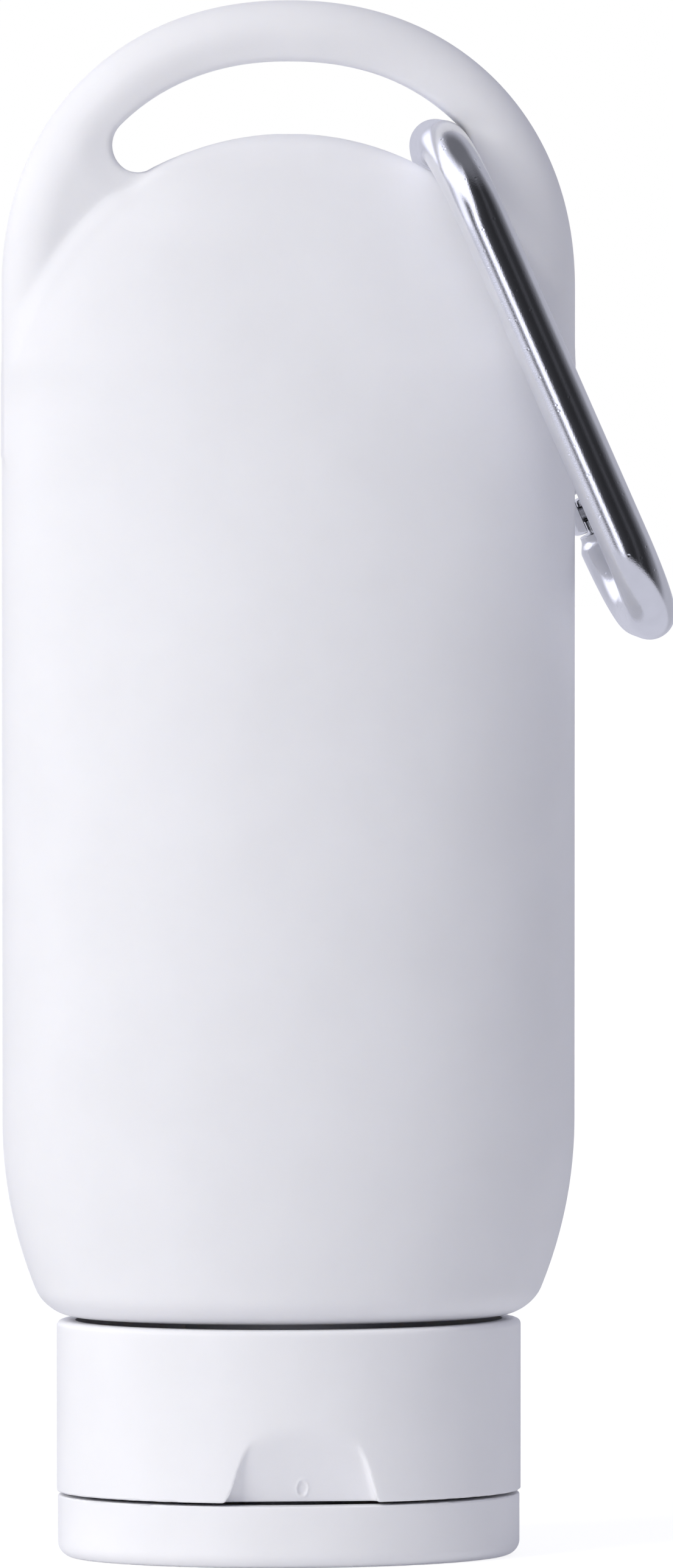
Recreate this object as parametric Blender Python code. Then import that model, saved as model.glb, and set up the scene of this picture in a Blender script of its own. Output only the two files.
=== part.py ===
"""Sunscreen bottle with a moulded carrying ring, a flip-top closure and a small key carabiner.

The bottle stands on its flat lid, mouth down. Metres, +Z up, front towards -Y, and the
origin lies at the centre of the lid's flat underside.
"""

import math

import bmesh
import bpy
from mathutils import Vector

# Clearances shared by everything that meets
FIT_GAP = 0.0003
PIN_GAP = 0.00012
OVERRUN = 0.0010

# Closure, an oval cup of moulded plastic
CLOSURE_WIDTH = 0.0404
CLOSURE_DEPTH = 0.0284
CLOSURE_HEIGHT = 0.0149
CLOSURE_WALL = 0.0016
CLOSURE_RIM_RADIUS = 0.0005
DECK_THICKNESS = 0.0014
SPOUT_RADIUS = 0.0038
SPOUT_LENGTH = 0.0025
ORIFICE_RADIUS = 0.0023
SNAP_SKIRT_WALL = 0.0012
SNAP_SKIRT_HEIGHT = 0.0120
PLUG_SEAL_WALL = 0.0010
PLUG_SEAL_HEIGHT = 0.0030

# Flip lid, a shallow oval tray under the closure
LID_STEP = 0.0001
LID_HEIGHT = 0.0054
LID_FLOOR = 0.0016
LID_WALL = 0.0022
LID_EDGE_RADIUS = 0.0013
SEAL_PIN_RADIUS = 0.00205
SEAL_PIN_ENTRY = 0.0012
SEAL_PIN_CHAMFER = 0.0003

# Living hinge, a thin strap across the seam at the back
HINGE_WIDTH = 0.0120
HINGE_REACH = 0.0020
HINGE_THICKNESS = 0.0005
HINGE_FOLD_THICKNESS = 0.0003
HINGE_FOLD_HEIGHT = 0.0008
HINGE_INSET = 0.0005

# Thumb recess in the front of the closure
RECESS_WIDTH = 0.0129
RECESS_DEPTH = 0.0020
RECESS_HEIGHT = 0.0063
RECESS_DRAFT = 0.0018
RECESS_BACKING = 0.0012

# Bottle, an oval body that thins towards its domed end
BODY_WIDTH = 0.0499
BODY_DEPTH = 0.0304
BODY_WALL = 0.0012
BODY_BULGE_HEIGHT = 0.0171
BODY_BULGE_RADIUS = 0.0387
BODY_CORNER_RADIUS = 0.0025
DOME_START_HEIGHT = 0.0776
DOME_RISE = 0.02505
CREST_DEPTH = 0.0132
CREST_RISE = 0.0080
BULGE_DEPTH_SHARE = 0.30
TAPER_POWER = 2.8

# Neck and its snap bead
NECK_RADIUS = 0.0090
NECK_BORE_RADIUS = 0.0075
BEAD_RISE = 0.0006
BEAD_HALF_HEIGHT = 0.0009
BEAD_HEIGHT = 0.0055

# Carrying ring over the dome, and the web that joins them
RING_TOP_HEIGHT = 0.0251
RING_TOP_THICKNESS = 0.0053
RING_SIDE_THICKNESS = 0.0048
RING_DEPTH = 0.0064
RING_SPRING_HEIGHT = 0.0891
RING_FOOT_DROP = 0.0140
RING_FOOT_INSET = 0.0022
RING_FOOT_DEPTH = 0.0024
RING_POWER = 2.14
WEB_THICKNESS = 0.0060
HOLE_END_RADIUS = 0.0024
HOLE_END_DEGREES = 43.5
HOLE_END_SWEEP = math.radians(110.0)
HOLE_UNDERCUT = 0.0006

# Carabiner, bent from one rod round a sprung gate
ROD_RADIUS = 0.00215
LOOP_LENGTH = 0.0446
LOOP_WIDTH = 0.0207
LOOP_CORNER_RADIUS = 0.0072
LOOP_TILT_DEGREES = 23.85
STUB_LENGTH = 0.0003
STUB_CHAMFER = 0.0003
TONGUE_THICKNESS = 0.0013
TONGUE_HEIGHT = 0.0026
HINGE_TONGUE_LENGTH = 0.0015
NOSE_LENGTH = 0.0032
NOSE_PIN_SETBACK = 0.0013
GATE_SWING_RADIUS = 0.0023
GATE_BORE_RADIUS = 0.00135
GATE_END_GAP = 0.0004
SLOT_END_ROOM = 0.0006
RIVET_RADIUS = 0.0006
RIVET_SETBACK = 0.00005

# Gate spring and the plunger that it pushes
SPRING_RADIUS = 0.00085
SPRING_WIRE_RADIUS = 0.0002
SPRING_LENGTH = 0.0108
SPRING_TURNS = 6
PLUNGER_HEAD_RADIUS = 0.00105
PLUNGER_HEAD_LENGTH = 0.0012
PLUNGER_STEM_RADIUS = 0.0004
PLUNGER_STEM_LENGTH = 0.0055

# Mesh fineness, as counts
OVAL_SIDES = 48
ROUND_SIDES = 32
ROD_SIDES = 16
SMALL_SIDES = 12
ARC_STEPS = 6
FILLET_STEPS = 4
TAPER_STEPS = 8
RING_STEPS = 32
SPRING_STEPS = 10
SHARP_DEGREES = 35.0

# Heights that follow from the stack of lid, closure and bottle
SEAM_LOW = LID_HEIGHT
SEAM_HIGH = LID_HEIGHT + FIT_GAP
DECK_TOP = SEAM_HIGH + DECK_THICKNESS
CLOSURE_RIM = SEAM_HIGH + CLOSURE_HEIGHT
BODY_BASE = CLOSURE_RIM + FIT_GAP
NECK_RIM = DECK_TOP + FIT_GAP
DOME_START = BODY_BASE + DOME_START_HEIGHT
DOME_TOP = DOME_START + DOME_RISE
RING_START = BODY_BASE + RING_SPRING_HEIGHT

# The lid turns about the middle of the hinge strap's fold
HINGE_Y = CLOSURE_DEPTH / 2 - HINGE_INSET
HINGE_Z = (SEAM_LOW + SEAM_HIGH) / 2

# Places along the gate leg, measured down from the loop's upper bend
LEG_Y = LOOP_WIDTH / 2
STUB_END = LOOP_CORNER_RADIUS + STUB_LENGTH
GATE_TOP = STUB_END + GATE_END_GAP
GATE_PIVOT = GATE_TOP + GATE_SWING_RADIUS
NOSE_STUB_END = LOOP_LENGTH - STUB_END
GATE_BOTTOM = NOSE_STUB_END - GATE_END_GAP
NOSE_TIP = NOSE_STUB_END - NOSE_LENGTH
NOSE_PIN = NOSE_TIP + NOSE_PIN_SETBACK
TONGUE_TIP = GATE_PIVOT + HINGE_TONGUE_LENGTH
PLUNGER_TIP = TONGUE_TIP + FIT_GAP
SPRING_START = PLUNGER_TIP + PLUNGER_HEAD_LENGTH + FIT_GAP + SPRING_WIRE_RADIUS
SPRING_END = SPRING_START + SPRING_LENGTH
BORE_END = SPRING_END + SPRING_WIRE_RADIUS + FIT_GAP


def clear_scene():
    for thing in list(bpy.data.objects):
        bpy.data.objects.remove(thing)


def finish_of(name, colour, roughness, metallic):
    """A plain Principled material."""
    material = bpy.data.materials.new(name)
    material.use_nodes = True
    shader = material.node_tree.nodes["Principled BSDF"]
    shader.inputs["Base Color"].default_value = (*colour, 1.0)
    shader.inputs["Roughness"].default_value = roughness
    shader.inputs["Metallic"].default_value = metallic
    return material


def object_from(name, work):
    """Turns a bmesh into an object whose faces point out."""
    bmesh.ops.recalc_face_normals(work, faces=work.faces)
    mesh = bpy.data.meshes.new(name)
    work.to_mesh(mesh)
    work.free()
    mesh.shade_smooth()
    mesh.set_sharp_from_angle(angle=math.radians(SHARP_DEGREES))
    thing = bpy.data.objects.new(name, mesh)
    bpy.context.scene.collection.objects.link(thing)
    return thing


def skin(name, rings, closed=False):
    """Joins rings of points with faces. It caps both ends, or joins last to first when closed."""
    work = bmesh.new()
    rows = [[work.verts.new(point) for point in ring] for ring in rings]
    pairs = list(zip(rows, rows[1:]))
    if closed:
        pairs.append((rows[-1], rows[0]))
    for lower, upper in pairs:
        join_rows(work, lower, upper)
    if not closed:
        for row in (rows[0], rows[-1]):
            if len(row) > 2:
                work.faces.new(row)
    return object_from(name, work)


def join_rows(work, lower, upper):
    """Faces between two rings, either of which may be a single point."""
    count = max(len(lower), len(upper))
    for i in range(count):
        j = (i + 1) % count
        if len(lower) == 1:
            work.faces.new((lower[0], upper[j], upper[i]))
        elif len(upper) == 1:
            work.faces.new((lower[i], lower[j], upper[0]))
        else:
            work.faces.new((lower[i], lower[j], upper[j], upper[i]))


def turned(name, profile, sides, centre=(0.0, 0.0)):
    """Turns a profile of (radius, height) points round a vertical line. A zero radius is a tip."""
    rings = []
    for radius, height in profile:
        if radius == 0:
            rings.append([Vector((centre[0], centre[1], height))])
            continue
        rings.append(circle_points(radius, height, sides, centre))
    return skin(name, rings)


def circle_points(radius, height, sides, centre=(0.0, 0.0)):
    points = []
    for i in range(sides):
        angle = math.tau * i / sides
        x = centre[0] + radius * math.cos(angle)
        y = centre[1] + radius * math.sin(angle)
        points.append(Vector((x, y, height)))
    return points


def rod_across(name, radius, reach, y, z, sides):
    """A round rod along X through the point (y, z)."""
    rings = []
    for x in (-reach, reach):
        flat = circle_points(radius, x, sides)
        rings.append([Vector((p.z, y + p.x, z + p.y)) for p in flat])
    return skin(name, rings)


def slab_across(name, outline, reach):
    """A plate with a (y, z) outline, as thick along X as twice its reach."""
    return skin(name, [[Vector((x, y, z)) for y, z in outline] for x in (-reach, reach)])


def slab_deep(name, outline, reach):
    """A plate with an (x, z) outline, as thick along Y as twice its reach."""
    return skin(name, [[Vector((x, y, z)) for x, z in outline] for y in (-reach, reach)])


def block(name, low, high):
    corners = [(low[0], low[1]), (high[0], low[1]), (high[0], high[1]), (low[0], high[1])]
    return skin(name, [[Vector((x, y, z)) for x, y in corners] for z in (low[2], high[2])])


def arc(centre, radius, start, end, steps):
    """Points of a round arc in a plane, from one angle to another."""
    points = []
    for i in range(steps + 1):
        angle = start + (end - start) * i / steps
        points.append((centre[0] + radius * math.cos(angle), centre[1] + radius * math.sin(angle)))
    return points


def combine(target, tool, operation):
    """Adds a Boolean to the target and hides the tool."""
    modifier = target.modifiers.new(f"{operation.lower()} {tool.name}", "BOOLEAN")
    modifier.operation = operation
    modifier.solver = "EXACT"
    modifier.object = tool
    tool.hide_render = True
    tool.display_type = "WIRE"


def joined(target, tool):
    combine(target, tool, "UNION")


def cut(target, tool):
    combine(target, tool, "DIFFERENCE")


def kept_inside(target, tool):
    combine(target, tool, "INTERSECT")


def pivot(name, place, turn=0.0, parent=None):
    """An empty on a joint's axis."""
    empty = bpy.data.objects.new(name, None)
    bpy.context.scene.collection.objects.link(empty)
    empty.location = place
    empty.rotation_euler = (0.0, turn, 0.0)
    empty.empty_display_size = ROD_RADIUS
    empty.parent = parent
    bpy.context.view_layer.update()
    return empty


def hang(things, parent):
    """Parents pieces whose meshes are drawn in the parent's own frame."""
    for thing in things:
        thing.parent = parent


def oval_points(half_width, half_depth, height, sides=OVAL_SIDES):
    """A horizontal ring of points on an ellipse."""
    points = []
    for i in range(sides):
        angle = math.tau * i / sides
        points.append(Vector((half_width * math.cos(angle), half_depth * math.sin(angle), height)))
    return points


def signed_power(value, power):
    return math.copysign(abs(value) ** power, value)


def taper_at(height):
    """How far the body has thinned: 0 at the bulge, 1 where the crest starts to round over."""
    bulge = BODY_BASE + BODY_BULGE_HEIGHT
    crest = DOME_TOP - CREST_RISE
    return max((height - bulge) / (crest - bulge), 0.0) ** TAPER_POWER


def depth_at(height, inset):
    """Half depth of the body before the crest rounds it off."""
    return (BODY_DEPTH + (CREST_DEPTH - BODY_DEPTH) * taper_at(height)) / 2 - inset


def body_rings(inset, sides):
    """Rings of the body from its base to its crest, moved inwards by a wall."""
    half_width = BODY_WIDTH / 2 - inset
    base = BODY_BASE + inset
    bulge = BODY_BASE + BODY_BULGE_HEIGHT
    bulge_radius = BODY_BULGE_RADIUS - inset
    corner_radius = BODY_CORNER_RADIUS - inset
    bulge_x = half_width - bulge_radius
    corner_z = base + corner_radius
    corner_x = bulge_x + math.sqrt((bulge_radius - corner_radius) ** 2 - (bulge - corner_z) ** 2)
    lowest = math.asin((corner_z - bulge) / (bulge_radius - corner_radius))
    bulge_depth = depth_at(bulge, inset)
    corner_inset = half_width - corner_x - corner_radius * math.cos(lowest)
    corner_depth = bulge_depth - BULGE_DEPTH_SHARE * corner_inset - corner_radius * math.cos(lowest)
    rings = []
    for x, z in arc((corner_x, corner_z), corner_radius, -math.pi / 2, lowest, FILLET_STEPS):
        rings.append(oval_points(x, corner_depth + x - corner_x, z, sides))
    for x, z in arc((bulge_x, bulge), bulge_radius, lowest, 0.0, ARC_STEPS)[1:]:
        depth = bulge_depth - BULGE_DEPTH_SHARE * (half_width - x)
        rings.append(oval_points(x, depth, z, sides))
    for i in range(1, TAPER_STEPS):
        z = bulge + (DOME_START - bulge) * i / TAPER_STEPS
        rings.append(oval_points(half_width, depth_at(z, inset), z, sides))
    return rings + dome_rings(half_width, inset, sides)


def dome_rings(half_width, inset, sides):
    """The domed end, whose rounded crest narrows to a point over the middle."""
    rise = DOME_RISE - inset
    crest_start = DOME_TOP - CREST_RISE
    crest_rise = CREST_RISE - inset
    steps = 2 * ARC_STEPS
    rings = []
    for i in range(steps):
        angle = math.pi / 2 * i / steps
        z = DOME_START + rise * math.sin(angle)
        over = max((z - crest_start) / crest_rise, 0.0)
        depth = depth_at(z, inset) * math.sqrt(1 - over**2)
        rings.append(oval_points(half_width * math.cos(angle), depth, z, sides))
    rings.append([Vector((0.0, 0.0, DOME_START + rise))])
    return rings


def bead_profile(base_radius, rise, centre_z, half_height):
    """The bead as (radius, height) points, going up."""
    top = centre_z + half_height
    bottom = centre_z - half_height
    flat = half_height / 3
    return [
        (base_radius, bottom),
        (base_radius + rise, centre_z - flat),
        (base_radius + rise, centre_z + flat),
        (base_radius, top),
    ]


def body_solid():
    """The body and its neck as one solid, not yet hollow."""
    bead_z = NECK_RIM + BEAD_HEIGHT
    neck = [(NECK_RADIUS, NECK_RIM)] + bead_profile(NECK_RADIUS, BEAD_RISE, bead_z, BEAD_HALF_HEIGHT)
    neck.append((NECK_RADIUS, BODY_BASE))
    rings = [circle_points(radius, z, OVAL_SIDES) for radius, z in neck]
    return skin("bottle", rings + body_rings(0.0, OVAL_SIDES))


def cavity():
    """The space inside the bottle, open through the neck."""
    start = NECK_RIM - OVERRUN
    rings = [circle_points(NECK_BORE_RADIUS, z, ROUND_SIDES) for z in (start, BODY_BASE + BODY_WALL)]
    return skin("cavity_cutter", rings + body_rings(BODY_WALL, ROUND_SIDES))


def ring_outline(angle):
    """A point on the ring's outer edge and the normal there, as (x, z). Angle 0 is the right side."""
    half_width = BODY_WIDTH / 2
    x = half_width * signed_power(math.cos(angle), 2.0 / RING_POWER)
    z = RING_TOP_HEIGHT * signed_power(math.sin(angle), 2.0 / RING_POWER)
    slope_x = signed_power(x / half_width, RING_POWER - 1) / half_width
    slope_z = signed_power(z / RING_TOP_HEIGHT, RING_POWER - 1) / RING_TOP_HEIGHT
    length = math.hypot(slope_x, slope_z)
    return (x, RING_START + z), (slope_x / length, slope_z / length)


def ring_section(angle):
    """The ring's section at an angle: centre, outward normal, half thickness and half depth."""
    point, normal = ring_outline(angle)
    thin = RING_SIDE_THICKNESS / 2
    thick = thin + (RING_TOP_THICKNESS / 2 - thin) * math.sin(angle) ** 2
    centre = (point[0] - normal[0] * thick, point[1] - normal[1] * thick)
    return centre, normal, thick, RING_DEPTH / 2


def ring_path():
    """The ring's sections from its right foot over the dome to its left foot."""
    arch = [ring_section(math.pi * i / RING_STEPS) for i in range(RING_STEPS + 1)]
    right = [foot_section(1.0, i / ARC_STEPS) for i in range(ARC_STEPS, 0, -1)]
    left = [foot_section(-1.0, i / ARC_STEPS) for i in range(1, ARC_STEPS + 1)]
    return right + arch + left


def hole_end():
    """Centre of the hole's round end, which touches the ring's inner edge. The carabiner hangs here."""
    centre, normal, thick, _ = ring_section(math.radians(HOLE_END_DEGREES))
    inwards = thick + HOLE_END_RADIUS
    return centre[0] - normal[0] * inwards, centre[1] - normal[1] * inwards


def foot_section(side, along):
    """The ring's foot, which thins and sinks into the side of the body."""
    thick = RING_SIDE_THICKNESS / 2
    x = BODY_WIDTH / 2 - thick - RING_FOOT_INSET * along**3
    z = RING_START - RING_FOOT_DROP * along
    depth = (RING_DEPTH + (RING_FOOT_DEPTH - RING_DEPTH) * along) / 2
    return (side * x, z), (side, 0.0), thick, depth


def carrying_ring():
    rings = []
    for centre, normal, thick, depth in ring_path():
        ring = []
        for i in range(ROD_SIDES):
            angle = math.tau * i / ROD_SIDES
            out = thick * math.cos(angle)
            ring.append(
                Vector((centre[0] + normal[0] * out, depth * math.sin(angle), centre[1] + normal[1] * out))
            )
        rings.append(ring)
    return skin("carrying_ring", rings)


def web():
    """The plate between ring and dome, with the crescent hole cut out of it."""
    centres = [centre for centre, _, _, _ in ring_path()[ARC_STEPS // 2 : -ARC_STEPS // 2]]
    plate = slab_deep("web_plate", centres, WEB_THICKNESS / 2)
    cut(plate, crescent())
    return plate


def crescent():
    """The hole: round ends between the ring's middle line and a line just inside the dome."""
    end_x, end_z = hole_end()
    start = math.radians(HOLE_END_DEGREES)
    over = [ring_section(start + (math.pi / 2 - start) * i / ARC_STEPS)[0] for i in range(ARC_STEPS)]
    end = arc((end_x, end_z), HOLE_END_RADIUS, -HOLE_END_SWEEP, start, ARC_STEPS)
    under = []
    for i in range(ARC_STEPS):
        x = (end_x - HOLE_END_RADIUS) * i / ARC_STEPS
        z = DOME_START + DOME_RISE * math.sqrt(1 - (2 * x / BODY_WIDTH) ** 2) - HOLE_UNDERCUT
        under.append((x, z))
    right = under + end + over
    left = [(-x, z) for x, z in reversed(right[1:])]
    outline = right + [ring_section(math.pi / 2)[0]] + left
    return slab_deep("hole_cutter", outline, WEB_THICKNESS)


def bottle():
    """The blow-moulded bottle: body, neck, ring and web in one piece."""
    shell = body_solid()
    joined(shell, carrying_ring())
    joined(shell, web())
    cut(shell, cavity())
    shell.data.materials.append(finish_of("bottle_plastic", (0.86, 0.87, 0.89), 0.45, 0.0))
    return shell


def closure_cup():
    """The closure's oval wall and deck."""
    half_width = CLOSURE_WIDTH / 2
    half_depth = CLOSURE_DEPTH / 2
    rings = [oval_points(half_width, half_depth, SEAM_HIGH)]
    rim = arc((0.0, CLOSURE_RIM - CLOSURE_RIM_RADIUS), CLOSURE_RIM_RADIUS, 0.0, math.pi / 2, FILLET_STEPS)
    for out, z in rim:
        step = CLOSURE_RIM_RADIUS - out
        rings.append(oval_points(half_width - step, half_depth - step, z))
    for z in (CLOSURE_RIM, DECK_TOP):
        rings.append(oval_points(half_width - CLOSURE_WALL, half_depth - CLOSURE_WALL, z))
    return skin("closure_base", rings)


def closure_fitting():
    """Spout, plug seal and snap skirt, turned about the orifice. Its disc lies inside the deck."""
    disc_low = SEAM_HIGH + DECK_THICKNESS / 4
    disc_high = DECK_TOP - DECK_THICKNESS / 4
    plug_out = NECK_BORE_RADIUS - FIT_GAP
    plug_in = plug_out - PLUG_SEAL_WALL
    plug_top = DECK_TOP + PLUG_SEAL_HEIGHT
    skirt_in = NECK_RADIUS + FIT_GAP
    skirt_out = skirt_in + SNAP_SKIRT_WALL
    skirt_top = DECK_TOP + SNAP_SKIRT_HEIGHT
    groove_half = BEAD_HALF_HEIGHT + FIT_GAP
    groove = bead_profile(skirt_in, BEAD_RISE, NECK_RIM + BEAD_HEIGHT, groove_half)
    spout_tip = SEAM_HIGH - SPOUT_LENGTH
    profile = [(0.0, spout_tip), (SPOUT_RADIUS, spout_tip), (SPOUT_RADIUS, disc_low)]
    profile += [(skirt_out, disc_low), (skirt_out, skirt_top), (skirt_in, skirt_top)]
    profile += list(reversed(groove))
    profile += [(skirt_in, disc_high), (plug_out, disc_high), (plug_out, plug_top)]
    profile += [(plug_in, plug_top), (plug_in, disc_high), (0.0, disc_high)]
    return turned("closure_fitting", profile, ROUND_SIDES)


def recess_cutter():
    """The thumb recess: a sloping flat back that runs out at the top, and flared sides."""
    front = -CLOSURE_DEPTH / 2
    low = SEAM_HIGH - OVERRUN
    high = SEAM_HIGH + RECESS_HEIGHT + OVERRUN
    rings = []
    for z in (low, high):
        up = z - SEAM_HIGH
        half = (RECESS_WIDTH - 2 * RECESS_DRAFT * up / RECESS_HEIGHT) / 2
        back = front + RECESS_DEPTH * (1 - up / RECESS_HEIGHT)
        near = front - OVERRUN
        corners = ((-half, near), (half, near), (half, back), (-half, back))
        rings.append([Vector((x, y, z)) for x, y in corners])
    return skin("recess_cutter", rings)


def recess_backing():
    """Extra wall inside the closure behind the thumb recess."""
    half = RECESS_WIDTH / 2 + RECESS_BACKING
    front = -CLOSURE_DEPTH / 2 + RECESS_DEPTH / 2
    back = -CLOSURE_DEPTH / 2 + RECESS_DEPTH + RECESS_BACKING
    low = SEAM_HIGH + DECK_THICKNESS / 2
    high = SEAM_HIGH + RECESS_HEIGHT + RECESS_BACKING
    near = -CLOSURE_DEPTH / 2 * math.sqrt(1 - (2 * half / CLOSURE_WIDTH) ** 2) + CLOSURE_WALL / 2
    return block("recess_backing", (-half, max(front, near), low), (half, back, high))


def hinge_pocket(name):
    """The flat pocket at the back that holds one end of the hinge strap."""
    half = HINGE_WIDTH / 2 + FIT_GAP
    inner = HINGE_Y - HINGE_THICKNESS / 2 - FIT_GAP
    reach = HINGE_REACH + FIT_GAP
    outer = CLOSURE_DEPTH / 2 + OVERRUN
    return block(name, (-half, inner, HINGE_Z - reach), (half, outer, HINGE_Z + reach))


def closure_base():
    """The snap-on half of the flip-top closure."""
    cup = closure_cup()
    joined(cup, closure_fitting())
    joined(cup, recess_backing())
    bore = [(ORIFICE_RADIUS, SEAM_HIGH - SPOUT_LENGTH - OVERRUN), (ORIFICE_RADIUS, DECK_TOP + OVERRUN)]
    cut(cup, turned("orifice_cutter", bore, SMALL_SIDES))
    cut(cup, recess_cutter())
    cut(cup, hinge_pocket("base_pocket_cutter"))
    cup.data.materials.append(finish_of("closure_plastic", (0.84, 0.85, 0.88), 0.38, 0.0))
    return cup


def flip_lid():
    """The lid that the bottle stands on, with the pin that plugs the orifice."""
    half_width = CLOSURE_WIDTH / 2 - LID_STEP
    half_depth = CLOSURE_DEPTH / 2 - LID_STEP
    rings = []
    edge = arc((0.0, LID_EDGE_RADIUS), LID_EDGE_RADIUS, -math.pi / 2, 0.0, FILLET_STEPS)
    for out, z in edge:
        step = LID_EDGE_RADIUS - out
        rings.append(oval_points(half_width - step, half_depth - step, z))
    rings.append(oval_points(half_width, half_depth, SEAM_LOW))
    for z in (SEAM_LOW, LID_FLOOR):
        rings.append(oval_points(half_width - LID_WALL, half_depth - LID_WALL, z))
    tray = skin("flip_lid", rings)
    tip = SEAM_HIGH - SPOUT_LENGTH + SEAL_PIN_ENTRY
    pin = [(SEAL_PIN_RADIUS, LID_FLOOR / 2), (SEAL_PIN_RADIUS, tip - SEAL_PIN_CHAMFER)]
    pin.append((SEAL_PIN_RADIUS - SEAL_PIN_CHAMFER, tip))
    joined(tray, turned("seal_pin", pin, SMALL_SIDES))
    cut(tray, hinge_pocket("lid_pocket_cutter"))
    tray.data.materials.append(finish_of("lid_plastic", (0.84, 0.85, 0.88), 0.38, 0.0))
    return tray


def living_hinge():
    """The strap between closure and lid, thinned where it folds."""
    thick = HINGE_THICKNESS / 2
    thin = HINGE_FOLD_THICKNESS / 2
    fold = HINGE_FOLD_HEIGHT / 2
    side = [(HINGE_REACH, thick), (fold, thick), (0.0, thin), (-fold, thick), (-HINGE_REACH, thick)]
    outline = [(HINGE_Y + out, HINGE_Z + up) for up, out in side]
    outline += [(HINGE_Y - out, HINGE_Z + up) for up, out in reversed(side)]
    strap = slab_across("living_hinge", outline, HINGE_WIDTH / 2)
    strap.data.materials.append(finish_of("hinge_plastic", (0.82, 0.83, 0.86), 0.4, 0.0))
    return strap


def loop_path():
    """The bent rod's centre line as (y, z), from the gate's hinge stub round to the nose stub."""
    r = LOOP_CORNER_RADIUS
    side = LEG_Y - r
    bottom = -LOOP_LENGTH + r
    path = [(LEG_Y, -STUB_END)]
    path += arc((side, -r), r, 0.0, math.pi / 2, ARC_STEPS)
    path += arc((-side, -r), r, math.pi / 2, math.pi, ARC_STEPS)
    path += arc((-side, bottom), r, math.pi, 1.5 * math.pi, ARC_STEPS)
    path += arc((side, bottom), r, 1.5 * math.pi, math.tau, ARC_STEPS)
    path.append((LEG_Y, -NOSE_STUB_END))
    return path


def rod_rings(path):
    """Round sections along a path in the loop's plane, with a small chamfer at each end."""
    rings = []
    last = len(path) - 1
    for i, (y, z) in enumerate(path):
        before = path[max(i - 1, 0)]
        after = path[min(i + 1, last)]
        along = Vector((0.0, after[0] - before[0], after[1] - before[1])).normalized()
        across = Vector((1.0, 0.0, 0.0)).cross(along)
        radius = ROD_RADIUS - STUB_CHAMFER if i in (0, last) else ROD_RADIUS
        ring = []
        for k in range(ROD_SIDES):
            angle = math.tau * k / ROD_SIDES
            offset = across * math.cos(angle) + Vector((1.0, 0.0, 0.0)) * math.sin(angle)
            ring.append(Vector((0.0, y, z)) + offset * radius)
        rings.append(ring)
    return rings


def tongue(name, start, end):
    """A flat tongue between two places along the gate leg."""
    half = TONGUE_HEIGHT / 2
    inner = LEG_Y - half
    outer = LEG_Y + half
    outline = [(inner, -start), (outer, -start), (outer, -end), (inner, -end)]
    return slab_across(name, outline, TONGUE_THICKNESS / 2)


def carabiner_hook():
    """The bent rod with a hinge tongue at one end and a notched nose at the other."""
    hook = skin("carabiner_hook", rod_rings(loop_path()))
    joined(hook, tongue("hinge_tongue", STUB_END - OVERRUN, TONGUE_TIP))
    joined(hook, tongue("nose_tongue", NOSE_TIP, NOSE_STUB_END + OVERRUN))
    hole = RIVET_RADIUS + PIN_GAP
    cut(hook, rod_across("hinge_hole_cutter", hole, ROD_RADIUS, LEG_Y, -GATE_PIVOT, SMALL_SIDES))
    cut(hook, nose_notch())
    hook.data.materials.append(finish_of("tumbled_aluminium", (0.78, 0.78, 0.80), 0.22, 1.0))
    return hook


def nose_notch():
    """The notch that the gate's pin drops into, open towards the inside of the loop."""
    half = RIVET_RADIUS + PIN_GAP
    outline = arc((LEG_Y, -NOSE_PIN), half, -math.pi / 2, math.pi / 2, ARC_STEPS)
    mouth = LEG_Y - TONGUE_HEIGHT
    outline += [(mouth, -NOSE_PIN + half), (mouth, -NOSE_PIN - half)]
    return slab_across("nose_notch_cutter", outline, ROD_RADIUS)


def gate_outline():
    """The gate seen along its pivot: round about the pivot at one end, square at the other."""
    centre = (LEG_Y, -GATE_PIVOT)
    outline = arc(centre, GATE_SWING_RADIUS, 0.0, math.pi, 2 * ARC_STEPS)
    wide = ROD_RADIUS + OVERRUN
    shoulder = -GATE_PIVOT - ROD_RADIUS
    bottom = -GATE_BOTTOM - OVERRUN
    outline += [(LEG_Y - GATE_SWING_RADIUS, shoulder), (LEG_Y - wide, shoulder)]
    outline += [(LEG_Y - wide, bottom), (LEG_Y + wide, bottom)]
    outline += [(LEG_Y + wide, shoulder), (LEG_Y + GATE_SWING_RADIUS, shoulder)]
    return outline


def gate_slot(name, start, end):
    """A slot through the gate that a tongue moves in."""
    half = TONGUE_THICKNESS / 2 + FIT_GAP
    reach = ROD_RADIUS + OVERRUN
    return block(name, (-half, LEG_Y - reach, -end), (half, LEG_Y + reach, -start))


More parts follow.
